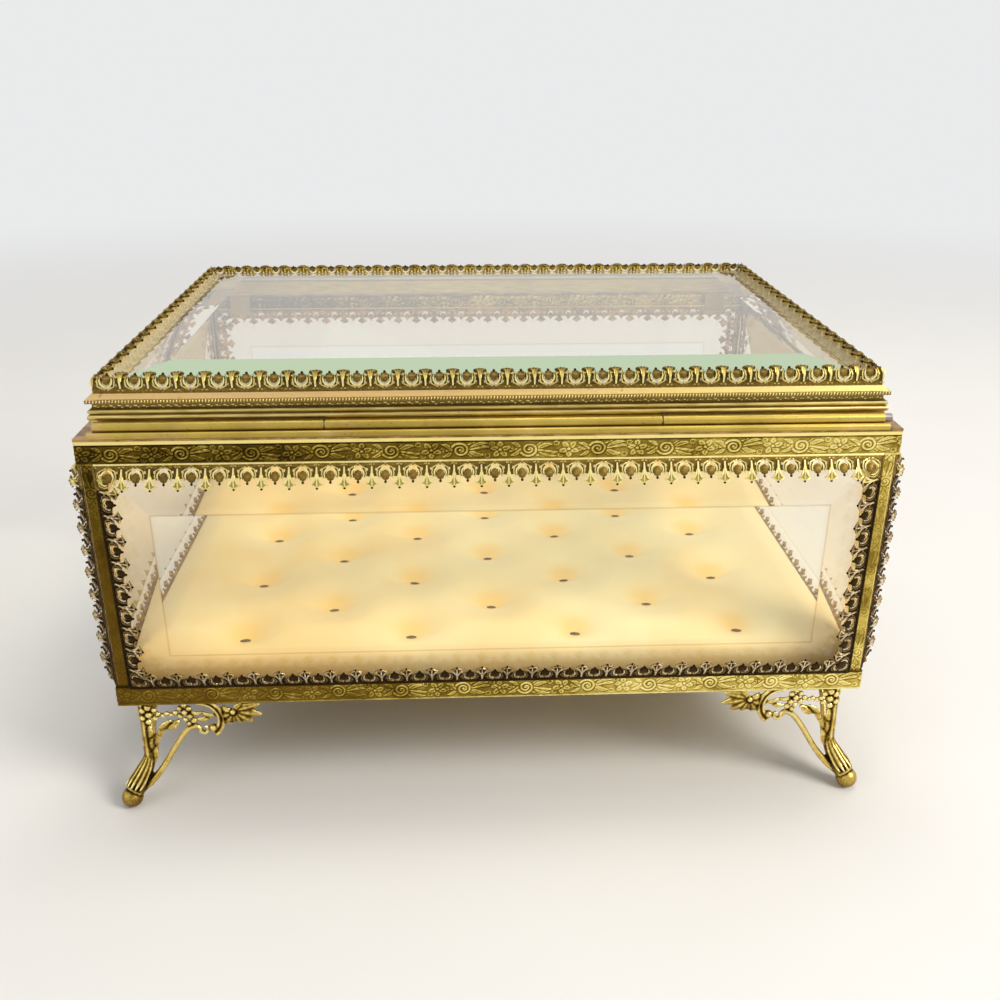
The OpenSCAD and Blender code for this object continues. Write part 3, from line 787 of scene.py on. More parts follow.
def gallery_motif(both_sides=False):
    """One repeat of the strip: X along it, Y from its root to its tips, Z its relief."""
    half, eye = TRIM_PITCH / 2, (0.0, 2.85)
    sheet, s = Shape(), Shape()
    # The sheet that carries the relief, with a small hole on each side of every stem
    sheet.join(plate([(-half, -0.1), (half, -0.1), (half, 0.8), (-half, 0.8)],
                     [(-0.2, 0.2), (0.2, 0.2), (0.2, 0.3), (-0.2, 0.3)], -0.05, 0.18, 0.36))
    for side in (-1, 1):
        x = side * (half - 0.95)
        sheet.join(plate([(x + u, 1.9 + v) for u, v in (
            (-1.1, -1.3), (0.0, -1.3), (1.0, -1.3), (1.0, 1.35), (0.0, 1.15), (-1.1, 1.5))],
            [(x + 0.26 * math.cos(a), 1.6 + 0.32 * math.sin(a)) for a in
             (-2.4, -1.57, -0.7, 0.7, 1.57, 2.4)], -0.05, 0.16, 0.28))
    # Two rolled arcs round the root side of a dull dome, and a knob under it
    for side in (-1, 1):
        a = np.radians([-80, -52, -24, 4, 30])
        rim = np.stack([side * 1.3 * np.cos(a), 2.55 + 1.35 * np.sin(a), 0 * a + 0.32], 1)
        s.join(tube(rim[::side], [0.14, 0.23, 0.25, 0.22, 0.12][::side], 4, tone=0.95))
    dome = [(0.94 * math.cos(a), eye[1] + 1.2 * math.sin(a))
            for a in np.radians(np.arange(0, 360, 45))]
    s.join(boss(dome, eye, -0.05, 0.14, 0.5, (0.06, 0.44)))
    s.join(bead((0, 4.3, 0.18), (0.34, 0.38, 0.3), 4, 5, 0.16))
    # Scrolls beside each dome and the grains along the root
    for side in (-1, 1):
        s.join(tube([(side * 0.75, 0.85, 0.25), (side * 1.62, 1.35, 0.36),
                     (side * 1.84, 2.5, 0.36), (side * 1.5, 3.5, 0.3)][::side],
                    [0.14, 0.2, 0.2, 0.14], 4, tone=0.78))
        s.join(bead((side * 0.4, 0.7, 0.22), (0.34, 0.2, 0.2), 3, 5, 0.7))
        s.join(bead((half + side * 0.42, 0.5, 0.2), (0.3, 0.22, 0.2), 3, 5, 0.62))
    # The drop between two domes: a diamond with a fan of ridges on it and a knob at its tip
    star = [(half + x, 4.72 + y) for x, y in (
        (0, -1.9), (0.5, -1.1), (0.8, -0.5), (1.46, 0.02), (0.86, 0.38), (0.36, 0.68),
        (0, 0.86), (-0.36, 0.68), (-0.86, 0.38), (-1.46, 0.02), (-0.8, -0.5), (-0.5, -1.1))]
    s.join(boss(star, (half, 4.6), -0.05, 0.16, 0.26, (0.3, 0.66)))
    s.join(tube([(half, 0.9, 0.3), (half, 2.6, 0.46), (half, 3.7, 0.5), (half, 5.3, 0.26)],
                [0.2, 0.32, 0.24, 0.14], 4, tone=0.95))
    for side in (-1, 1):
        s.join(tube([(half + side * 0.2, 2.5, 0.3), (half + side * 0.42, 3.6, 0.44),
                     (half + side * 0.74, 4.3, 0.4), (half + side * 1.28, 4.7, 0.26)][::side],
                    [0.14, 0.25, 0.28, 0.2][::side], 4, tone=0.95))
        s.join(tube([(half + side * 1.24, 4.78, 0.24), (half + side * 0.7, 5.06, 0.3),
                     (half + side * 0.12, 5.4, 0.24)][::side], [0.14, 0.2, 0.14], 4, tone=0.9))
    s.join(bead((half, 5.58, 0.16), (0.32, 0.3, 0.28), 4, 5, 0.1))
    if both_sides:
        sheet.join(s.changed(lambda p: p * [1, 1, -0.85] + [0, 0, 0.1], flip=True))
    return sheet.join(s)


def flared(tilt):
    """The rule that tilts a flat strip about its root by an angle in degrees."""
    c, s = math.cos(math.radians(tilt)), math.sin(math.radians(tilt))
    return lambda p: np.stack([p[:, 0], p[:, 1] * c - p[:, 2] * s,
                               p[:, 1] * s + p[:, 2] * c], 1)


CURL_REACH, CURL_SLOPE = (0.0, 2.6, 3.2, 3.8, 5.8), (88, 84, 40, 6, -8)


def curled(p):
    """The rule that stands the lid's strip up and folds its tips in over the glass."""
    reach = np.linspace(0, TRIM_W * 1.05, 90)
    slope = np.radians(np.interp(reach, CURL_REACH, CURL_SLOPE))
    step = reach[1]
    run = np.concatenate([[0], np.cumsum(np.cos(slope[:-1]))]) * step
    rise = np.concatenate([[0], np.cumsum(np.sin(slope[:-1]))]) * step
    y, z = np.interp(p[:, 1], reach, run), np.interp(p[:, 1], reach, rise)
    z += np.minimum(p[:, 1], 0)
    a = np.interp(p[:, 1], reach, slope)
    return np.stack([p[:, 0], y - p[:, 2] * np.sin(a), z + p[:, 2] * np.cos(a)], 1)


def mitred(shape, half):
    """A strip cut to a mitre at both ends of its root, and closed there."""
    bm = bmesh.new()
    mesh = shape.mesh("strip")
    bm.from_mesh(mesh)
    for side in (-1, 1):
        cut = bmesh.ops.bisect_plane(
            bm, geom=bm.verts[:] + bm.edges[:] + bm.faces[:], dist=1e-7,
            plane_co=Vector((side * half * MM, 0, 0)), plane_no=Vector((side, 1, 0)),
            clear_outer=True)["geom_cut"]
        edges = [e for e in cut if isinstance(e, bmesh.types.BMEdge)]
        bmesh.ops.holes_fill(bm, edges=edges, sides=0)
    bm.to_mesh(mesh)
    bm.free()
    out = shape_of(mesh)
    bpy.data.meshes.remove(mesh)
    return out


def filigree_frame(half_x, half_y, bend, name, rail=0.28, both_sides=False):
    """Four mitred strips around an opening, flat in XY with their relief along Z.

    The strip at +Y has a rolled root with a painted highlight, the others a dull one. The backs are
    painted bright: painted light.
    """
    drawn = gallery_motif(both_sides)
    tones, behind = drawn.all_tones(), drawn.all_points()[:, 2] < 0
    # The backs are painted bright: painted light.
    tones = np.where(behind, np.maximum(tones, 0.5) if both_sides else 0.88, tones)
    drawn = Shape().add(drawn.all_points(), drawn.faces, tones)
    motif = helper(drawn.changed(bend), name + "_motif")
    whole = Shape()
    for half, reach, turns in ((half_x, half_y, (0, 2)), (half_y, half_x, (1, 3))):
        count = round(2 * half / TRIM_PITCH)
        row = row_of(motif, count, 2 * half / count)
        for turn in turns:
            # The top strip's root gets a painted highlight; the other roots stay dull.
            root = tube([(-half, -0.1, 0.18), (half, -0.1, 0.18)], rail, 8,
                        tone=0.95 if turn == 2 else 0.4)
            strip = mitred(Shape().join(row).join(root.changed(bend)), half)
            whole.join(strip.changed(around(turn, reach)))
    bpy.data.objects.remove(motif)
    return whole


def make_trims():
    middle, half_open = (OPEN_LOW + OPEN_HIGH) / 2, (OPEN_HIGH - OPEN_LOW) / 2
    long_frame = filigree_frame(85.4, half_open, flared(25), "long_side")
    end_frame = filigree_frame(HALF_W - 1.6, half_open, flared(45), "end_side")
    for turn, name in enumerate(("rear", "right", "front", "left")):
        strip, reach = (end_frame, HALF_L) if turn % 2 else (long_frame, HALF_W)
        strip = strip.changed(stood_up(middle)).changed(around(turn, reach))
        piece = strip.piece("filigree_" + name, smooth=50)
        finish_piece(piece, "filigree", "body", "filigree", "trim_" + name)
    half_x, half_y, level = LID_STRIP
    lid = filigree_frame(half_x, half_y, curled, "lid", 0.16, True)
    points, tone = lid.all_points(), lid.all_tones()
    folded = np.clip((points[:, 2] - 3.05) / 0.3, 0, 1)
    lid = Shape().add(points + [0, 0, level], lid.faces, tone * (1 - 0.5 * folded))
    piece = lid.piece("filigree_lid", smooth=50)
    finish_piece(piece, "filigree", "lid", "filigree", "lid_trim")


# Embossing

BAND_PERIOD, BAND_TALL = 30.0, 4.7
BAND_CELLS = (200, 32)
CORNER_R, STATION_STEP = 0.3, 0.24


class Embossing:
    """A repeating field of raised strokes, 0 on the ground and 1 on a crest."""

    def __init__(self):
        self.s, self.t = np.meshgrid(np.linspace(0, BAND_PERIOD, BAND_CELLS[0], endpoint=False),
                                     np.linspace(0, BAND_TALL, BAND_CELLS[1]), indexing="ij")
        self.lift = np.zeros(BAND_CELLS)

    def share(self, path, width, soft):
        """How far each cell lies inside a stroke: 0 outside it, 1 on its flat top."""
        path, width = np.asarray(path, float), np.broadcast_to(width, len(path))
        best = np.zeros_like(self.lift)
        for shift in (-BAND_PERIOD, 0, BAND_PERIOD):
            d = np.hypot(self.s[..., None] - path[:, 0] - shift, self.t[..., None] - path[:, 1])
            best = np.maximum(best, np.clip((width - d) / soft, 0, 1).max(-1))
        return best

    def stroke(self, path, width, height=1.0, soft=0.22):
        self.lift = np.maximum(self.lift, height * self.share(path, width, soft))

    def groove(self, path, width=0.16, depth=0.7):
        self.lift *= 1 - depth * self.share(path, width, 0.16)

    def leaf(self, base, tip, bow, fat, height=0.85):
        """A pointed leaf with a cut edge all round and a vein down its middle."""
        base, tip = np.asarray(base, float), np.asarray(tip, float)
        n = np.linspace(0, 1, 18)[:, None]
        side = np.array([-(tip - base)[1], (tip - base)[0]])
        path = base + (tip - base) * n + side * bow * np.sin(n * math.pi)
        width = fat * np.sin((0.12 + 0.86 * n[:, 0]) * math.pi) ** 0.7
        self.groove(path, np.maximum(width, 0.05) + 0.22, 0.9)
        self.stroke(path, np.maximum(width, 0.08), height)
        self.groove(path[2:13], 0.14, 0.55)


def spiral(centre, r0, r1, start, sweep, n=70):
    """Points of a spiral that winds in from radius r0 to r1."""
    a = np.radians(start + sweep * np.linspace(0, 1, n))
    r = r0 + (r1 - r0) * np.linspace(0, 1, n) ** 0.85
    return np.stack([centre[0] + r * np.cos(a), centre[1] + r * np.sin(a)], 1)


def scroll_relief():
    """Running scrolls with leaves and flowers: their lift, and their tone, with painted highlights
    inside the edges of strokes and on their upper sides, painted shade under them, and darker just
    outside them.
    """
    e = Embossing()
    middle = BAND_TALL / 2
    for k, flip in ((0, 1), (1, -1)):
        x0 = (k + 0.5) * BAND_PERIOD / 2

        def at(x, y):
            return (x0 + x, middle + flip * (y - middle))

        def fan(base, *leaves):
            for angle, length, bow, fat in leaves:
                a = math.radians(angle)
                tip = (base[0] + length * math.cos(a), base[1] + length * math.sin(a))
                e.leaf(at(*base), at(*tip), bow * flip, fat)

        stem = curve(at(1.6, 0.9), at(3.2, 0.1), at(4.8, 0.3), at(6.9, 1.6), 40)
        e.stroke(stem, 0.26, 0.8)
        fan((1.7, 2.2), (52, 2.6, 0.16, 0.52), (22, 3.9, 0.14, 0.7), (-6, 4.9, -0.1, 0.74))
        fan((2.4, 1.5), (-34, 2.5, -0.14, 0.48), (-14, 3.9, -0.1, 0.55))
        fan((-1.9, 2.5), (142, 2.7, -0.16, 0.55), (178, 2.4, 0.1, 0.5), (216, 2.9, 0.16, 0.58))
        for cx, cy, r in ((5.9, 3.9, 0.55), (-3.9, 2.3, 0.42), (6.9, 0.75, 0.5)):
            eye = at(cx, cy)
            e.groove([eye], r + 0.35, 1.0)
            e.stroke(spiral(eye, r, r, 0, 360, 20), 0.2, 1.0)
            e.stroke([eye], 0.16, 0.9)
        flower = at(-6.3, middle)
        e.groove([flower], 2.2, 0.9)
        for p in range(5):
            a = math.radians(72 * p + 90 * flip)
            ray = np.array([math.cos(a), math.sin(a)])
            e.leaf(flower + 0.4 * ray, flower + 2.2 * ray, 0, 0.78, 0.9)
        e.groove([flower], 0.72, 1.0)
        e.stroke([flower], 0.5, 1.0)
        turn = spiral(at(0, middle), 1.95, 0.5, -150 * flip, 600 * flip)
        e.groove(turn, 0.6, 1.0)
        e.stroke(turn, np.linspace(0.42, 0.28, len(turn)))
        e.stroke([at(0, middle)], 0.45)
    grain = np.random.default_rng(5).random(e.lift.shape)
    lift = np.maximum(e.lift, 0.16 * grain)
    wide = lift
    for _ in range(2):
        wide = (wide + np.roll(wide, 1, 0) + np.roll(wide, -1, 0)) / 3
        rows = np.pad(wide, ((0, 0), (1, 1)), mode="edge")
        wide = (rows[:, 1:-1] + rows[:, :-2] + rows[:, 2:]) / 3
    # Painted light: crest and the upper-edge term are painted highlights, and the upper-edge term
    # paints shade under strokes.
    crest, trough = np.clip(lift - wide, 0, 1), np.clip(wide - lift, 0, 1)
    painted_top_light = lift - np.roll(lift, -1, 1)
    tone = 0.42 + 0.12 * lift + 0.85 * crest - 1.2 * trough + 0.4 * painted_top_light - 0.08 * grain
    return lift, np.clip(tone, 0, 1)


RELIEF = scroll_relief()


def relief_at(along, across):
    """Lift and tone at positions along a strip in millimetres and across it from 0 to 1."""
    n, m = RELIEF[0].shape
    i = (np.asarray(along) / BAND_PERIOD * n) % n
    j = np.clip(np.asarray(across), 0, 1) * (m - 1)
    i0, j0 = np.floor(i).astype(int) % n, np.minimum(np.floor(j).astype(int), m - 2)
    i1, fi, fj = (i0 + 1) % n, i - np.floor(i), j - j0
    return [(f[i0, j0] * (1 - fi) + f[i1, j0] * fi) * (1 - fj)
            + (f[i0, j0 + 1] * (1 - fi) + f[i1, j0 + 1] * fi) * fj for f in RELIEF]


def edge_stations():
    """Stations round the body's plan: core points, outward directions, distances."""
    cores, outs, dist, total = [], [], [], 0.0
    for side in range(4):
        hx, hy = (HALF_W, HALF_L) if side % 2 else (HALF_L, HALF_W)
        flat, reach = hx - CORNER_R, hy - CORNER_R
        n = round(2 * flat / STATION_STEP)
        x = np.linspace(-flat, flat, n + 1)
        a = np.radians([-60, -30])
        core = np.vstack([np.stack([x, np.full(n + 1, -reach)], 1), [[flat, -reach]] * 2])
        out = np.vstack([np.tile([0.0, -1.0], (n + 1, 1)), np.stack([np.cos(a), np.sin(a)], 1)])
        length = round(2 * hx / BAND_PERIOD) * BAND_PERIOD
        c, d = QUARTERS[side]
        turn = np.array([[c, d], [-d, c]])
        cores.append(core @ turn)
        outs.append(out @ turn)
        dist.append(np.concatenate([(x + hx) / (2 * hx), [1.0, 1.0]]) * length + total)
        total += length
    return np.vstack(cores), np.vstack(outs), np.concatenate(dist)


def swept_ring(columns):
    """A closed strip round the body. Each column gives its inset and height for the stations."""
    core, out, s = edge_stations()
    limit = np.array([HALF_L, HALF_W])
    points, tones = [], []
    for rule in columns:
        inset, height, tone = (np.broadcast_to(v, len(core)) for v in rule(s))
        near = core + out * (CORNER_R - inset)[:, None]
        room = limit - inset[:, None]
        flat = np.where((inset <= CORNER_R)[:, None], near, np.clip(core, -room, room))
        points.append(np.column_stack([flat, height]))
        tones.append(tone)
    n, m = len(core), len(columns)
    i, k = np.meshgrid(np.arange(n), np.arange(m), indexing="ij")
    j, l = (i + 1) % n, (k + 1) % m
    faces = np.stack([i * m + k, j * m + k, j * m + l, i * m + l], -1).reshape(-1, 4)
    return Shape().add(np.stack(points, 1), faces, np.stack(tones, 1).reshape(-1))


def embossed_columns(low, high, count, depth, inside=False):
    """Columns across a band's face: its relief over a rolled lip with a painted highlight, and
    painted shade under the rim.

    The outer face runs upwards. The inner face runs down and follows the same relief.
    """
    def column(share):
        def rule(s):
            lift, tone = relief_at(s, (share - 0.09) / 0.87)
            # The lip gets a painted highlight; shade is painted shade under the rim, where the relief
            # also flattens.
            lip = max(0.0, 1 - abs(share - 0.035) / 0.05)
            shade = min(1.0, max(0.0, (share - 0.93) / 0.03))
            lift = np.maximum(lift * (1 - shade), 1.1 * lip)
            tone = np.maximum(tone * (1 - shade), 0.95 * lip)
            if inside:
                return 0.5 - 0.75 * depth * lift, low + share * (high - low), 0.2 + 0.8 * tone
            return -depth * lift, low + share * (high - low), tone
        return rule
    shares = np.linspace(0, 1, count)
    return [column(share) for share in (shares[::-1] if inside else shares)]


def wall(inset, height, tone=0.3):
    return lambda s: (inset, height, tone)


def make_bands():
    deep = 0.17
    upper = embossed_columns(OPEN_HIGH, BAND_TOP, 23, deep)
    upper += embossed_columns(OPEN_HIGH, BAND_TOP, 12, deep, inside=True)
    lower = embossed_columns(FOOT_H, OPEN_LOW, 25, deep)
    for inset, height in ((SHEET, OPEN_LOW), (SHEET, FOOT_H + SHEET),
                          (6.0, FOOT_H + SHEET), (6.0, FOOT_H)):
        lower.append(wall(inset, height))
    for name, columns in (("upper", upper), ("lower", lower)):
        piece = swept_ring(columns).piece("embossed_" + name + "_band", 1e-4, 60)
        finish_piece(piece, "embossed", "body", "gilt_brass", name + "_band")


def post_columns(z):
    """Columns round a folded post, each with its points and tones, from its inner corner."""
    wear = 0.25 + 0.75 * np.clip((np.abs(z - 62) - 14) / 16, 0, 1)

    def upright(x, y):
        return np.column_stack([x + 0 * z, y + 0 * z, z])

    columns = []
    for leaf, swap in ((3.1, 0), (3.7, 1)):
        places = np.linspace(leaf, 0.3, round((leaf - 0.3) / 0.2) + 1)
        for x in places[::-1] if swap else places:
            share = (leaf - x) / leaf
            lift, tone = relief_at(z * 1.35 + 7 * swap, np.full(len(z), 0.1 + 0.8 * share))
            off = -0.1 * lift * wear
            columns.append((upright(off, x) if swap else upright(x, off), 0.4 + (tone - 0.4) * wear))
        if not swap:
            columns.append((upright(0.09, 0.09), 0 * z + 0.8))
    return columns + [(upright(x, y), 0 * z + 0.3)
                      for x, y in ((SHEET, 3.7), (SHEET, SHEET), (3.1, SHEET))]


def make_posts():
    """Folded posts with the same scrolls running up them, worn flat in the middle."""
    rows = round((POST_HIGH - POST_LOW) / 0.22)
    columns = post_columns(np.linspace(POST_LOW, POST_HIGH, rows + 1))
    m = len(columns)
    points = np.stack([c[0] for c in columns], 1).reshape(-1, 3)
    tone = np.stack([c[1] for c in columns], 1).reshape(-1)
    faces = [(i * m + k, (i + 1) * m + k, (i + 1) * m + (k + 1) % m, i * m + (k + 1) % m)
             for i in range(rows) for k in range(m)]
    faces += [tuple(range(m)), tuple(rows * m + k for k in range(m))[::-1]]
    for x_side, y_side, name in CORNERS:
        post = Shape().add(points, faces, tone).changed(lambda p: np.stack([
            x_side * (HALF_L - SHEET - p[:, 0]), y_side * (HALF_W - SHEET - p[:, 1]), p[:, 2]], 1))
        piece = post.piece("embossed_post_" + name, 1e-4, 60, recalc=True)
        finish_piece(piece, "embossed", "body", "gilt_brass", "corner_post_" + name)


# Lid moulding

def edge_rows(motif, half_x, half_y, level, pitch, jitter=0.0):
    """A motif repeated along the four sides of the lid: X along, -Y outwards, Z up."""
    source, whole = helper(motif, "edge_motif"), Shape()
    for half, reach, turns in ((half_x, half_y, (0, 2)), (half_y, half_x, (1, 3))):
        row = row_of(source, int(2 * half / pitch), pitch, jitter)
        for turn in turns:
            whole.join(row.changed(around(turn, reach)))
    bpy.data.objects.remove(source)
    return whole.changed(lambda p: p + [0, 0, level])


def make_lid_edge():
    """The milled line round the lid's widest edge and the flecked line in its hollow."""
    rib = tube([(-0.05, -0.02, -0.36), (0.0, -0.09, 0), (0.05, -0.02, 0.36)],
               [0.13, 0.17, 0.13], 5, up=(1, 0, 0), tone=0.8)
    edge = edge_rows(rib, 86.1, 60.6, 103.175, 0.67)
    fleck = Shape()
    fleck.join(bead((-0.35, 0, 0.05), (0.34, 0.2, 0.17), 3, 5, 0.95))
    fleck.join(bead((0.3, 0, -0.12), (0.26, 0.2, 0.15), 3, 5, 0.8))
    edge.join(edge_rows(fleck, 85.1, 59.6, 101.98, 1.7, 0.3))
    finish_piece(edge.piece("lid_edge_ornament", smooth=60), "filigree", "lid", "gilt_brass")


# Cushion

TUFT_X, TUFT_Y = 19.8, 13.5
GRID_X, GRID_Y = 1.65, TUFT_Y / 8


def tuft_places():
    return np.array([(i * TUFT_X, j * TUFT_Y) for j in range(-4, 5) for i in range(-3, 4)
                     if (abs(i) + abs(j)) % 2 == 1])


def cushion_top(half_x, half_y, base, crown, tufts):
    """A grid over the cushion: full between its tufts, creased across them, rolled at its edges."""
    nx, ny = int((half_x - 0.8) / GRID_X), int((half_y - 0.8) / GRID_Y)
    x, y = np.meshgrid(
        np.concatenate([[-half_x + 0.4], np.arange(-nx, nx + 1) * GRID_X, [half_x - 0.4]]),
        np.concatenate([[-half_y + 0.4], np.arange(-ny, ny + 1) * GRID_Y, [half_y - 0.4]]),
        indexing="ij")
    side_x, side_y = x[..., None] - tufts[:, 0], y[..., None] - tufts[:, 1]
    near = np.hypot(side_x, side_y).min(-1)
    inset = np.minimum(half_x - np.abs(x), half_y - np.abs(y))
    roll = np.sqrt(np.clip(1 - (1 - np.clip(inset / 7, 0, 1)) ** 2, 0, 1))
    flat = base + (crown - base) * (0.48 + 0.2 * roll)
    z = flat + 2.3 * (1 - np.exp(-(near / 7.5) ** 2)) * np.clip(inset / 8, 0, 1)
    z -= 0.7 * np.exp(-(side_x / 6) ** 2 - ((side_y - 0.12 * side_x) / 1.5) ** 2).max(-1)
    return x, y, z


def cushion_side(x, y, z, half_x, half_y, base):
    """The grid places round the top's rim, and three points down to the base from each."""
    n, m = x.shape
    rim = ([(i, 0) for i in range(n)] + [(n - 1, j) for j in range(1, m)]
           + [(i, m - 1) for i in range(n - 2, -1, -1)] + [(0, j) for j in range(m - 2, 0, -1)])
    points = [(np.clip(x[place], -half_x + draw, half_x - draw),
               np.clip(y[place], -half_y + draw, half_y - draw),
               base + (z[place] - base) * drop)
              for place in rim for drop, draw in ((0.55, 0.3), (0.2, 1.2), (0.0, 2.6))]
    return rim, points


def make_cushion():
    """The sewn pad, blown up as cloth, then brought to the height of the CAD's cushion."""
    low, high = (np.array(c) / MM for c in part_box("cushion"))
    half_x, half_y, base, crown = high[0], high[1], low[2], high[2]
    tufts = tuft_places()
    x, y, z = cushion_top(half_x, half_y, base, crown, tufts)
    rim, side_points = cushion_side(x, y, z, half_x, half_y, base)
    points = np.vstack([np.stack([x, y, z], -1).reshape(-1, 3), side_points])
    count = x.size
    k = np.arange(count).reshape(x.shape)
    faces = np.stack([k[:-1, :-1], k[1:, :-1], k[1:, 1:], k[:-1, 1:]], -1).reshape(-1, 4).tolist()
    lines = [[k[place]] + [count + 3 * a + level for level in range(3)]
             for a, place in enumerate(rim)]
    for line, following in zip(lines, lines[1:] + lines[:1]):
        faces += [(line[level], line[level + 1], following[level + 1], following[level])
                  for level in range(3)]
    sewn = [int(k[np.abs(x[:, 0] - tx).argmin(), np.abs(y[0] - ty).argmin()]) for tx, ty in tufts]
    points = inflated(points, faces, sewn + [line[3] for line in lines])
    height, top = points[:, 2], points[:, 2].max()
    raised = base + (height - base) * (crown - 0.2 - base) / (top - base)
    points = np.column_stack([np.clip(points[:, 0], -half_x + 0.05, half_x - 0.05),
                              np.clip(points[:, 1], -half_y + 0.05, half_y - 0.05),
                              np.where(height > base, raised, base)])
    centre = len(points)
    points = np.vstack([points, [0, 0, base]])
    faces += [(line[3], centre, following[3])
              for line, following in zip(lines, lines[1:] + lines[:1])]
    # The tone is painted shade: a shadow on the far side of each tuft and a darker crease across it.
    dx, dy = points[:, :1] - tufts[:, 0], points[:, 1:2] - tufts[:, 1]
    behind = np.exp(-(dx / 4.6) ** 2 - ((dy - 2.6) / 3.8) ** 2).max(1)
    creased = np.exp(-(dx / 1.7) ** 2 - (dy / 0.9) ** 2).max(1)
    tone = 1 - 0.6 * behind - 0.35 * creased
    piece = Shape().add(points, faces, tone).piece("tufted_satin_cushion", smooth=180, recalc=True)
    smooth = piece.modifiers.new("smoothing", "SUBSURF")
    smooth.levels = smooth.render_levels = 1
    finish_piece(piece, "satin", "body", "satin", "cushion")
    return points[sewn]


def inflated(points, faces, fixed):
    """The cushion blown up as cloth between its sewn tufts, worked at ten times its size."""
    scale, last, furthest = 0.01, 20, 5.0
    mesh = bpy.data.meshes.new("pad")
    mesh.from_pydata((points * scale).tolist(), [], faces)
    pad = bpy.data.objects.new("pad", mesh)
    scene = bpy.context.scene
    scene.collection.objects.link(pad)
    group = pad.vertex_groups.new(name="sewn")
    group.add(fixed, 1.0, "REPLACE")
    cloth = pad.modifiers.new("pad", "CLOTH")
    for key, value in (("vertex_group_mass", "sewn"), ("quality", 6), ("mass", 0.25),
                       ("use_pressure", True), ("uniform_pressure_force", 5.0),
                       ("shrink_min", -0.05), ("tension_stiffness", 20),
                       ("compression_stiffness", 20), ("shear_stiffness", 8),
                       ("bending_stiffness", 0.4), ("air_damping", 2.0)):
        setattr(cloth.settings, key, value)
    cloth.settings.effector_weights.gravity = 0.0
    cloth.point_cache.frame_start, cloth.point_cache.frame_end = 1, last
    for number in range(1, last + 1):
        scene.frame_set(number)
    graph = bpy.context.evaluated_depsgraph_get()
    result = bpy.data.meshes.new_from_object(pad.evaluated_get(graph))
    moved = np.empty(len(points) * 3)
    result.vertices.foreach_get("co", moved)
    bpy.data.objects.remove(pad)
    scene.frame_set(1)
    moved = moved.reshape(-1, 3) / scale
    change = moved - points
    size = np.linalg.norm(change, axis=1, keepdims=True)
    return points + change * np.minimum(1, furthest / np.maximum(size, 1e-6))


def make_stitches(places):
    """A short double stitch across each tuft, drawn down at both ends."""
    knot = Shape()
    for y, rise in ((-0.16, 0.1), (0.2, 0.2)):
        knot.join(tube([(-1.7, y, -0.3), (-0.95, y, rise), (0.0, y * 1.6, rise + 0.08),
                        (0.95, y, rise), (1.7, y, -0.3)],
                       [0.1, 0.2, 0.24, 0.2, 0.1], 6, tone=0.4))
    motif = helper(knot, "stitch")
    dots = helper(Shape().add(places + [0, 0, 0.2], []), "tuft_places")
    mesh = POINTS.run("tuft_stitches", Motif=motif, Places=dots, Finish=FINISH["thread"])
    bpy.data.objects.remove(motif)
    bpy.data.objects.remove(dots)
    piece = placed(mesh, "tuft_stitches", 60)
    finish_piece(piece, "thread", "body", "thread", "tufting_stitches")


# Feet

def leaf_bar(base, tip, bulge, width, lift, tone=0.85):
    """A pointed leaf with a ridge: u, d and relief of its ends, and how far it bows."""
    base, tip = np.asarray(base, float), np.asarray(tip, float)
    n = np.linspace(0, 1, 7)[:, None]
    side = np.array([-(tip - base)[1], (tip - base)[0], 0])
    path = base + (tip - base) * n + side * bulge * np.sin(n * math.pi)
    path[:, 2] += lift * np.sin(n[:, 0] * math.pi)
    w = width * np.array([0.4, 0.75, 0.95, 1.0, 0.95, 0.7, 0.3])
    return tube(path, w, 6, flat=0.55, tone=tone)


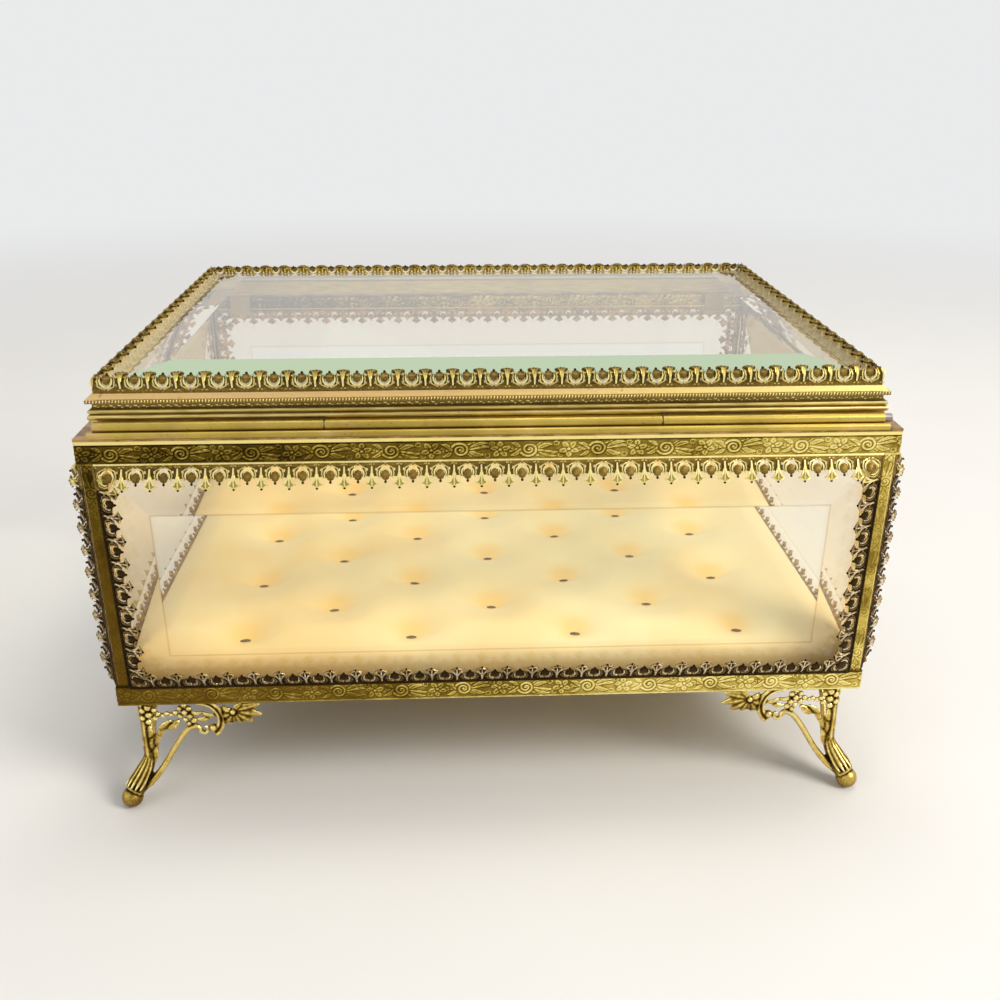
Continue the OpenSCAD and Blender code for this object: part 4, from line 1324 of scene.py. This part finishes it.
def foot_wing():
    """One wing: X runs in from the corner, Y is height, Z is relief outwards."""
    s = Shape()

    def at(u, d, w=0.0):
        return (u, FOOT_H - d, w)

    s.join(tube([at(3.2, 0.4), at(31.5, 0.4)], 0.62, 8, flat=0.9))
    for r, w in ((5.7, 0.55), (4.6, 0.48)):
        path = arc((17.6, FOOT_H - 6.8), r, 95, -52, 16, 0.35)
        s.join(tube(path, w, 6))
    s.join(bead(at(20.6, 9.3, 0.2), 1.05, rows=6, sides=8))
    leg = [(18.6, 8.7), (19.3, 9.6), (18.6, 10.7), (17.5, 10.3), (17.3, 9.2), (16.2, 8.7),
           (14.8, 9.3), (13.2, 11.0), (11.2, 14.0), (9.4, 17.0), (7.9, 19.4), (6.2, 21.6),
           (4.2, 23.6), (2.0, 25.2)]
    fine = smooth_line(np.array([at(u, d, 0.3) for u, d in leg]), 4)
    w = np.interp(np.linspace(0, 1, len(fine)),
                  [0, 0.25, 0.4, 0.8, 1], [0.45, 0.55, 0.76, 0.82, 1.0])
    s.join(tube(fine, w, 8))
    # Flower of pointed leaves at the inner end
    for angle, length, width in ((14, 6.6, 1.25), (-12, 6.9, 1.3), (-38, 5.6, 1.3),
                                 (-66, 4.2, 1.15), (38, 4.4, 1.0), (150, 3.0, 0.95),
                                 (200, 3.6, 1.0), (235, 3.8, 1.0), (268, 3.4, 0.95)):
        a = math.radians(angle)
        s.join(leaf_bar(at(25.8, 4.6, 0.2),
                        at(25.8 + length * math.cos(a), 4.6 - length * math.sin(a), -0.1),
                        0.08, width, 0.55))
    s.join(bead(at(25.8, 4.6, 0.6), 0.8, rows=6, sides=8))
    s.join(leaf_bar(at(22.3, 6.6), at(25.2, 8.6), 0.15, 0.8, 0.4))
    s.join(leaf_bar(at(22.6, 2.2), at(26.5, 1.4), 0.1, 0.8, 0.4))
    # Branch across to the rosette
    for u0, d0, u1, d1 in ((22.0, 5.6, 18.0, 4.6), (20.6, 5.9, 16.4, 6.6), (18.6, 4.9, 15.2, 4.3)):
        s.join(leaf_bar(at(u0, d0, 0.1), at(u1, d1, 0.1), 0.1, 0.7, 0.4))
    for u, d, r in ((14.2, 4.5, 0.95), (13.1, 3.4, 0.8), (15.3, 3.5, 0.8), (13.0, 5.6, 0.8),
                    (15.4, 5.7, 0.85), (14.2, 2.5, 0.75), (16.2, 7.0, 0.85), (15.0, 7.8, 0.8),
                    (14.2, 6.7, 0.7), (12.0, 4.6, 0.7), (10.9, 5.2, 0.65), (9.9, 4.8, 0.65),
                    (8.9, 5.4, 0.7), (7.8, 4.9, 0.7)):
        s.join(bead(at(u, d, 0.35), (r, r, 0.8 * r), rows=5, sides=7))
    # Corner cluster and the leaves that hang from it
    for u, d, r in ((5.6, 3.0, 1.0), (7.0, 3.6, 0.85), (4.3, 3.8, 0.9), (5.6, 5.0, 1.05),
                    (7.1, 6.0, 0.85), (4.1, 5.9, 0.85), (5.4, 7.1, 0.9)):
        s.join(bead(at(u, d, 0.4), (r, r, 0.85 * r), rows=5, sides=7))
    for u0, d0, u1, d1, b in ((12.4, 7.6, 9.0, 9.2, 0.1), (10.6, 7.0, 7.4, 10.4, -0.1),
                              (8.8, 7.4, 6.4, 11.8, 0.12), (8.4, 10.2, 6.0, 14.4, -0.1),
                              (5.0, 8.0, 4.6, 12.4, 0.12), (6.6, 10.6, 5.2, 16.0, -0.12),
                              (4.2, 11.0, 4.6, 16.2, -0.1), (5.8, 13.8, 4.8, 19.4, 0.1),
                              (4.0, 14.6, 4.3, 20.0, 0.1)):
        s.join(leaf_bar(at(u0, d0, 0.15), at(u1, d1, 0.15), b, 0.85, 0.35))
    s.join(tube([at(4.0, 1.0, -0.2), at(4.0, 20.0, -0.2)], [0.75, 0.8], 6))
    s.join(tube(smooth_line(np.array([at(12.6, 7.4, -0.1), at(9.4, 8.6, -0.1),
                                      at(7.2, 11.0, -0.1), at(5.6, 16.5, -0.1)]), 4), 0.6, 6))
    return s


def smooth_line(points, times):
    """A smooth line through points, with this many steps between neighbours."""
    pts = np.vstack([2 * points[0] - points[1], points, 2 * points[-1] - points[-2]])
    out = []
    for i in range(1, len(pts) - 2):
        p0, p1, p2, p3 = pts[i - 1:i + 3]
        for t in np.arange(times) / times:
            out.append(0.5 * (2 * p1 + (p2 - p0) * t + (2 * p0 - 5 * p1 + 4 * p2 - p3) * t * t
                              + (3 * p1 - p0 - 3 * p2 + p3) * t**3))
    out.append(pts[-2])
    return np.array(out)


def foot_shape():
    """A whole foot at the rear left corner, with X and Y running in from the corner."""
    wing = foot_wing()
    s = Shape()

    def set_in(p):
        return np.interp(p[:, 1], [2.5, 11.0], [1.0, 3.75]) - p[:, 2]
    s.join(wing.changed(lambda p: np.stack([p[:, 0], set_in(p), p[:, 1]], 1)))
    s.join(wing.changed(lambda p: np.stack([set_in(p), p[:, 0], p[:, 1]], 1), flip=True))
    ball = np.array([-0.2, -0.2, 2.5])
    s.join(bead(ball, 2.62, rows=14, sides=22, tone=0.7))
    # The leaf-wrapped ankle flares out to the ball
    spine = smooth_line(np.array([(4.2, 4.2, 12.0), (3.7, 3.7, 9.6), (2.2, 2.2, 6.6),
                                  (0.3, 0.3, 3.8)]), 4)
    s.join(tube(spine, np.interp(np.linspace(0, 1, len(spine)), [0, 0.4, 1], [1.1, 1.7, 2.5]),
                10, up=(1, -1, 0)))
    for k in range(7):
        a = math.radians(-75 + 25 * k)
        side = np.array([math.sin(a), -math.sin(a), 0]) / math.sqrt(2)
        front = np.array([-1, -1, 0.9]) / 1.68 * math.cos(a)
        off = side + front
        path = [spine[i] + off * r for i, r in ((0, 1.0), (4, 1.7), (8, 2.25), (11, 2.75))]
        s.join(tube(smooth_line(np.array(path), 3), [0.35] * 4 + [0.5] * 4 + [0.35, 0.2], 6,
                    up=tuple(off)))
    return s


def make_feet():
    """Cast feet: every part of one foot fused into a single skin, then mirrored."""
    rough = foot_shape().piece("rough_foot")
    fuse = rough.modifiers.new("fuse", "REMESH")
    fuse.mode = "VOXEL"
    fuse.voxel_size = 0.24 * MM
    soften = rough.modifiers.new("soften", "SMOOTH")
    soften.factor, soften.iterations = 0.5, 2
    graph = bpy.context.evaluated_depsgraph_get()
    mesh = bpy.data.meshes.new_from_object(rough.evaluated_get(graph))
    bpy.data.objects.remove(rough)
    foot = shape_of(mesh)
    points = foot.all_points()
    points[:, 2] = np.maximum(points[:, 2], 0.0)
    tone = hollowness(mesh)
    bpy.data.meshes.remove(mesh)
    for x_side, y_side, name in CORNERS:
        moved = np.stack([x_side * (HALF_L - points[:, 0]), y_side * (HALF_W - points[:, 1]),
                          points[:, 2]], 1)
        flip = x_side * y_side < 0
        faces = [f[::-1] for f in foot.faces] if flip else foot.faces
        piece = Shape().add(moved, faces, tone).piece("cast_foot_" + name, smooth=180)
        finish_piece(piece, "cast", "body", "cast_feet", "foot_" + name)


def hollowness(mesh):
    """0 in hollows and 1 on crests, from how each point lies to its neighbours."""
    n = len(mesh.vertices)
    co, normal = np.empty(n * 3), np.empty(n * 3)
    mesh.vertices.foreach_get("co", co)
    mesh.vertices.foreach_get("normal", normal)
    co, normal = co.reshape(-1, 3) / MM, normal.reshape(-1, 3)
    edges = np.empty(len(mesh.edges) * 2, int)
    mesh.edges.foreach_get("vertices", edges)
    a, b = edges.reshape(-1, 2).T
    mean = co.copy()
    value = np.zeros(n)
    for _ in range(3):
        total, count = np.zeros((n, 3)), np.zeros(n)
        np.add.at(total, a, mean[b])
        np.add.at(total, b, mean[a])
        np.add.at(count, a, 1)
        np.add.at(count, b, 1)
        mean = total / np.maximum(count, 1)[:, None]
        value += ((co - mean) * normal).sum(1)
    return np.clip(0.5 + value * 3.0, 0, 1)


# Whole object

def dress_nodes():
    """Finishes for the CAD nodes that keep their own shape."""
    looks = {
        "body_rim": "rim", "floor_pan": "dull", "pane_clips": "dull",
        "pane_rear": "glass", "pane_right": "glass", "pane_front": "glass",
        "pane_left": "glass", "cushion_board": "card", "hinge_leaf_lower": "sheet",
        "hinge_pin": "steel", "hinge_leaf_upper": "sheet", "lid_frame": "lid",
        "lid_pane": "lid_glass",
    }
    for node, look in looks.items():
        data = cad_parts[node].data
        data.materials.clear()
        data.materials.append(FINISH[look])


PALE = (0.82, 0.825, 0.83, 1)
LAMPS = (("key", (0.75, -0.5, 0.7), 0.45, 8.5, (1.0, 0.96, 0.9)),
         ("fill", (-0.9, -0.6, 0.6), 0.8, 2.0, (0.95, 0.97, 1.0)),
         ("top", (0.1, 0.25, 1.1), 0.8, 5.2, (1.0, 0.98, 0.94)))


def make_floor():
    """A plain pale floor that fades into the background."""
    mesh = bpy.data.meshes.new("floor")
    size = 8.0
    mesh.from_pydata([(-size, -size, 0), (size, -size, 0), (size, size, 0), (-size, size, 0)],
                     [], [(0, 1, 2, 3)])
    floor = bpy.data.objects.new("floor", mesh)
    bpy.context.scene.collection.objects.link(floor)
    f = Finish("pale_floor", roughness=0.7)
    f.colour(f.mix(f.noise(60, 2), rgb(232, 229, 224), rgb(236, 234, 230)))
    far = Value(f, f.node("ShaderNodeVectorMath", {"operation": "LENGTH"},
                          {0: f.place}).outputs["Value"])
    glow = f.node("ShaderNodeEmission", None, {0: PALE, 1: 1.0})
    f.show(f.node("ShaderNodeMixShader", None, {
        0: far.between(0.3, 1.0), 1: f.shader.outputs[0], 2: glow.outputs[0]}))
    mesh.materials.append(f.material)


def make_world():
    """A pale backdrop to the eye, in reflections and through glass, and a dim sky for the rest."""
    world = bpy.data.worlds.new("studio")
    bpy.context.scene.world = world
    world.use_nodes = True
    tree = world.node_tree
    tree.nodes.clear()
    path = add_node(tree, "ShaderNodeLightPath")
    seen = path.outputs["Is Camera Ray"]
    for kind in ("Is Glossy Ray", "Is Transmission Ray"):
        seen = add_node(tree, "ShaderNodeMath", {"operation": "MAXIMUM"},
                        {0: seen, 1: path.outputs[kind]}).outputs[0]
    sky = add_node(tree, "ShaderNodeBackground", None, {0: (0.95, 0.97, 1.0, 1), 1: 0.4})
    backdrop = add_node(tree, "ShaderNodeBackground", None, {0: PALE, 1: 1.0})
    mixed = add_node(tree, "ShaderNodeMixShader", None,
                     {0: seen, 1: sky.outputs[0], 2: backdrop.outputs[0]})
    add_node(tree, "ShaderNodeOutputWorld", None, {0: mixed.outputs[0]})


def make_lamps():
    for name, place, size, power, colour in LAMPS:
        lamp = bpy.data.lights.new(name, "AREA")
        lamp.size, lamp.energy, lamp.color = size, power, colour
        obj = bpy.data.objects.new(name, lamp)
        bpy.context.scene.collection.objects.link(obj)
        aim = Vector((0, 0, 0.06)) - Vector(place)
        turn = aim.to_track_quat("-Z", "Y").to_matrix().to_4x4()
        obj.matrix_world = Matrix.Translation(place) @ turn


def make_camera():
    """The camera, placed to match corner points of the real box."""
    camera = bpy.data.cameras.new("camera")
    camera.sensor_width, camera.lens = 36.0, 37.217
    camera.clip_start = 0.01
    eye = bpy.data.objects.new("camera", camera)
    bpy.context.scene.collection.objects.link(eye)
    yaw, pitch, roll = 0.046, 0.414, 0.0028
    ahead = Vector((math.sin(yaw) * math.cos(pitch), math.cos(yaw) * math.cos(pitch),
                    -math.sin(pitch)))
    right = Vector((math.cos(yaw), -math.sin(yaw), 0))
    up = right.cross(ahead)
    right, up = (right * math.cos(roll) + up * math.sin(roll),
                 up * math.cos(roll) - right * math.sin(roll))
    turn = Matrix((right, up, -ahead)).transposed().to_4x4()
    eye.matrix_world = Matrix.Translation((-0.0084037, -0.2713608, 0.1720018)) @ turn
    bpy.context.scene.camera = eye
    bpy.context.scene.view_settings.view_transform = "Standard"


make_floor()
make_world()
make_lamps()
make_camera()
dress_nodes()
make_bands()
make_posts()
make_trims()
make_lid_edge()
make_feet()
make_stitches(make_cushion())
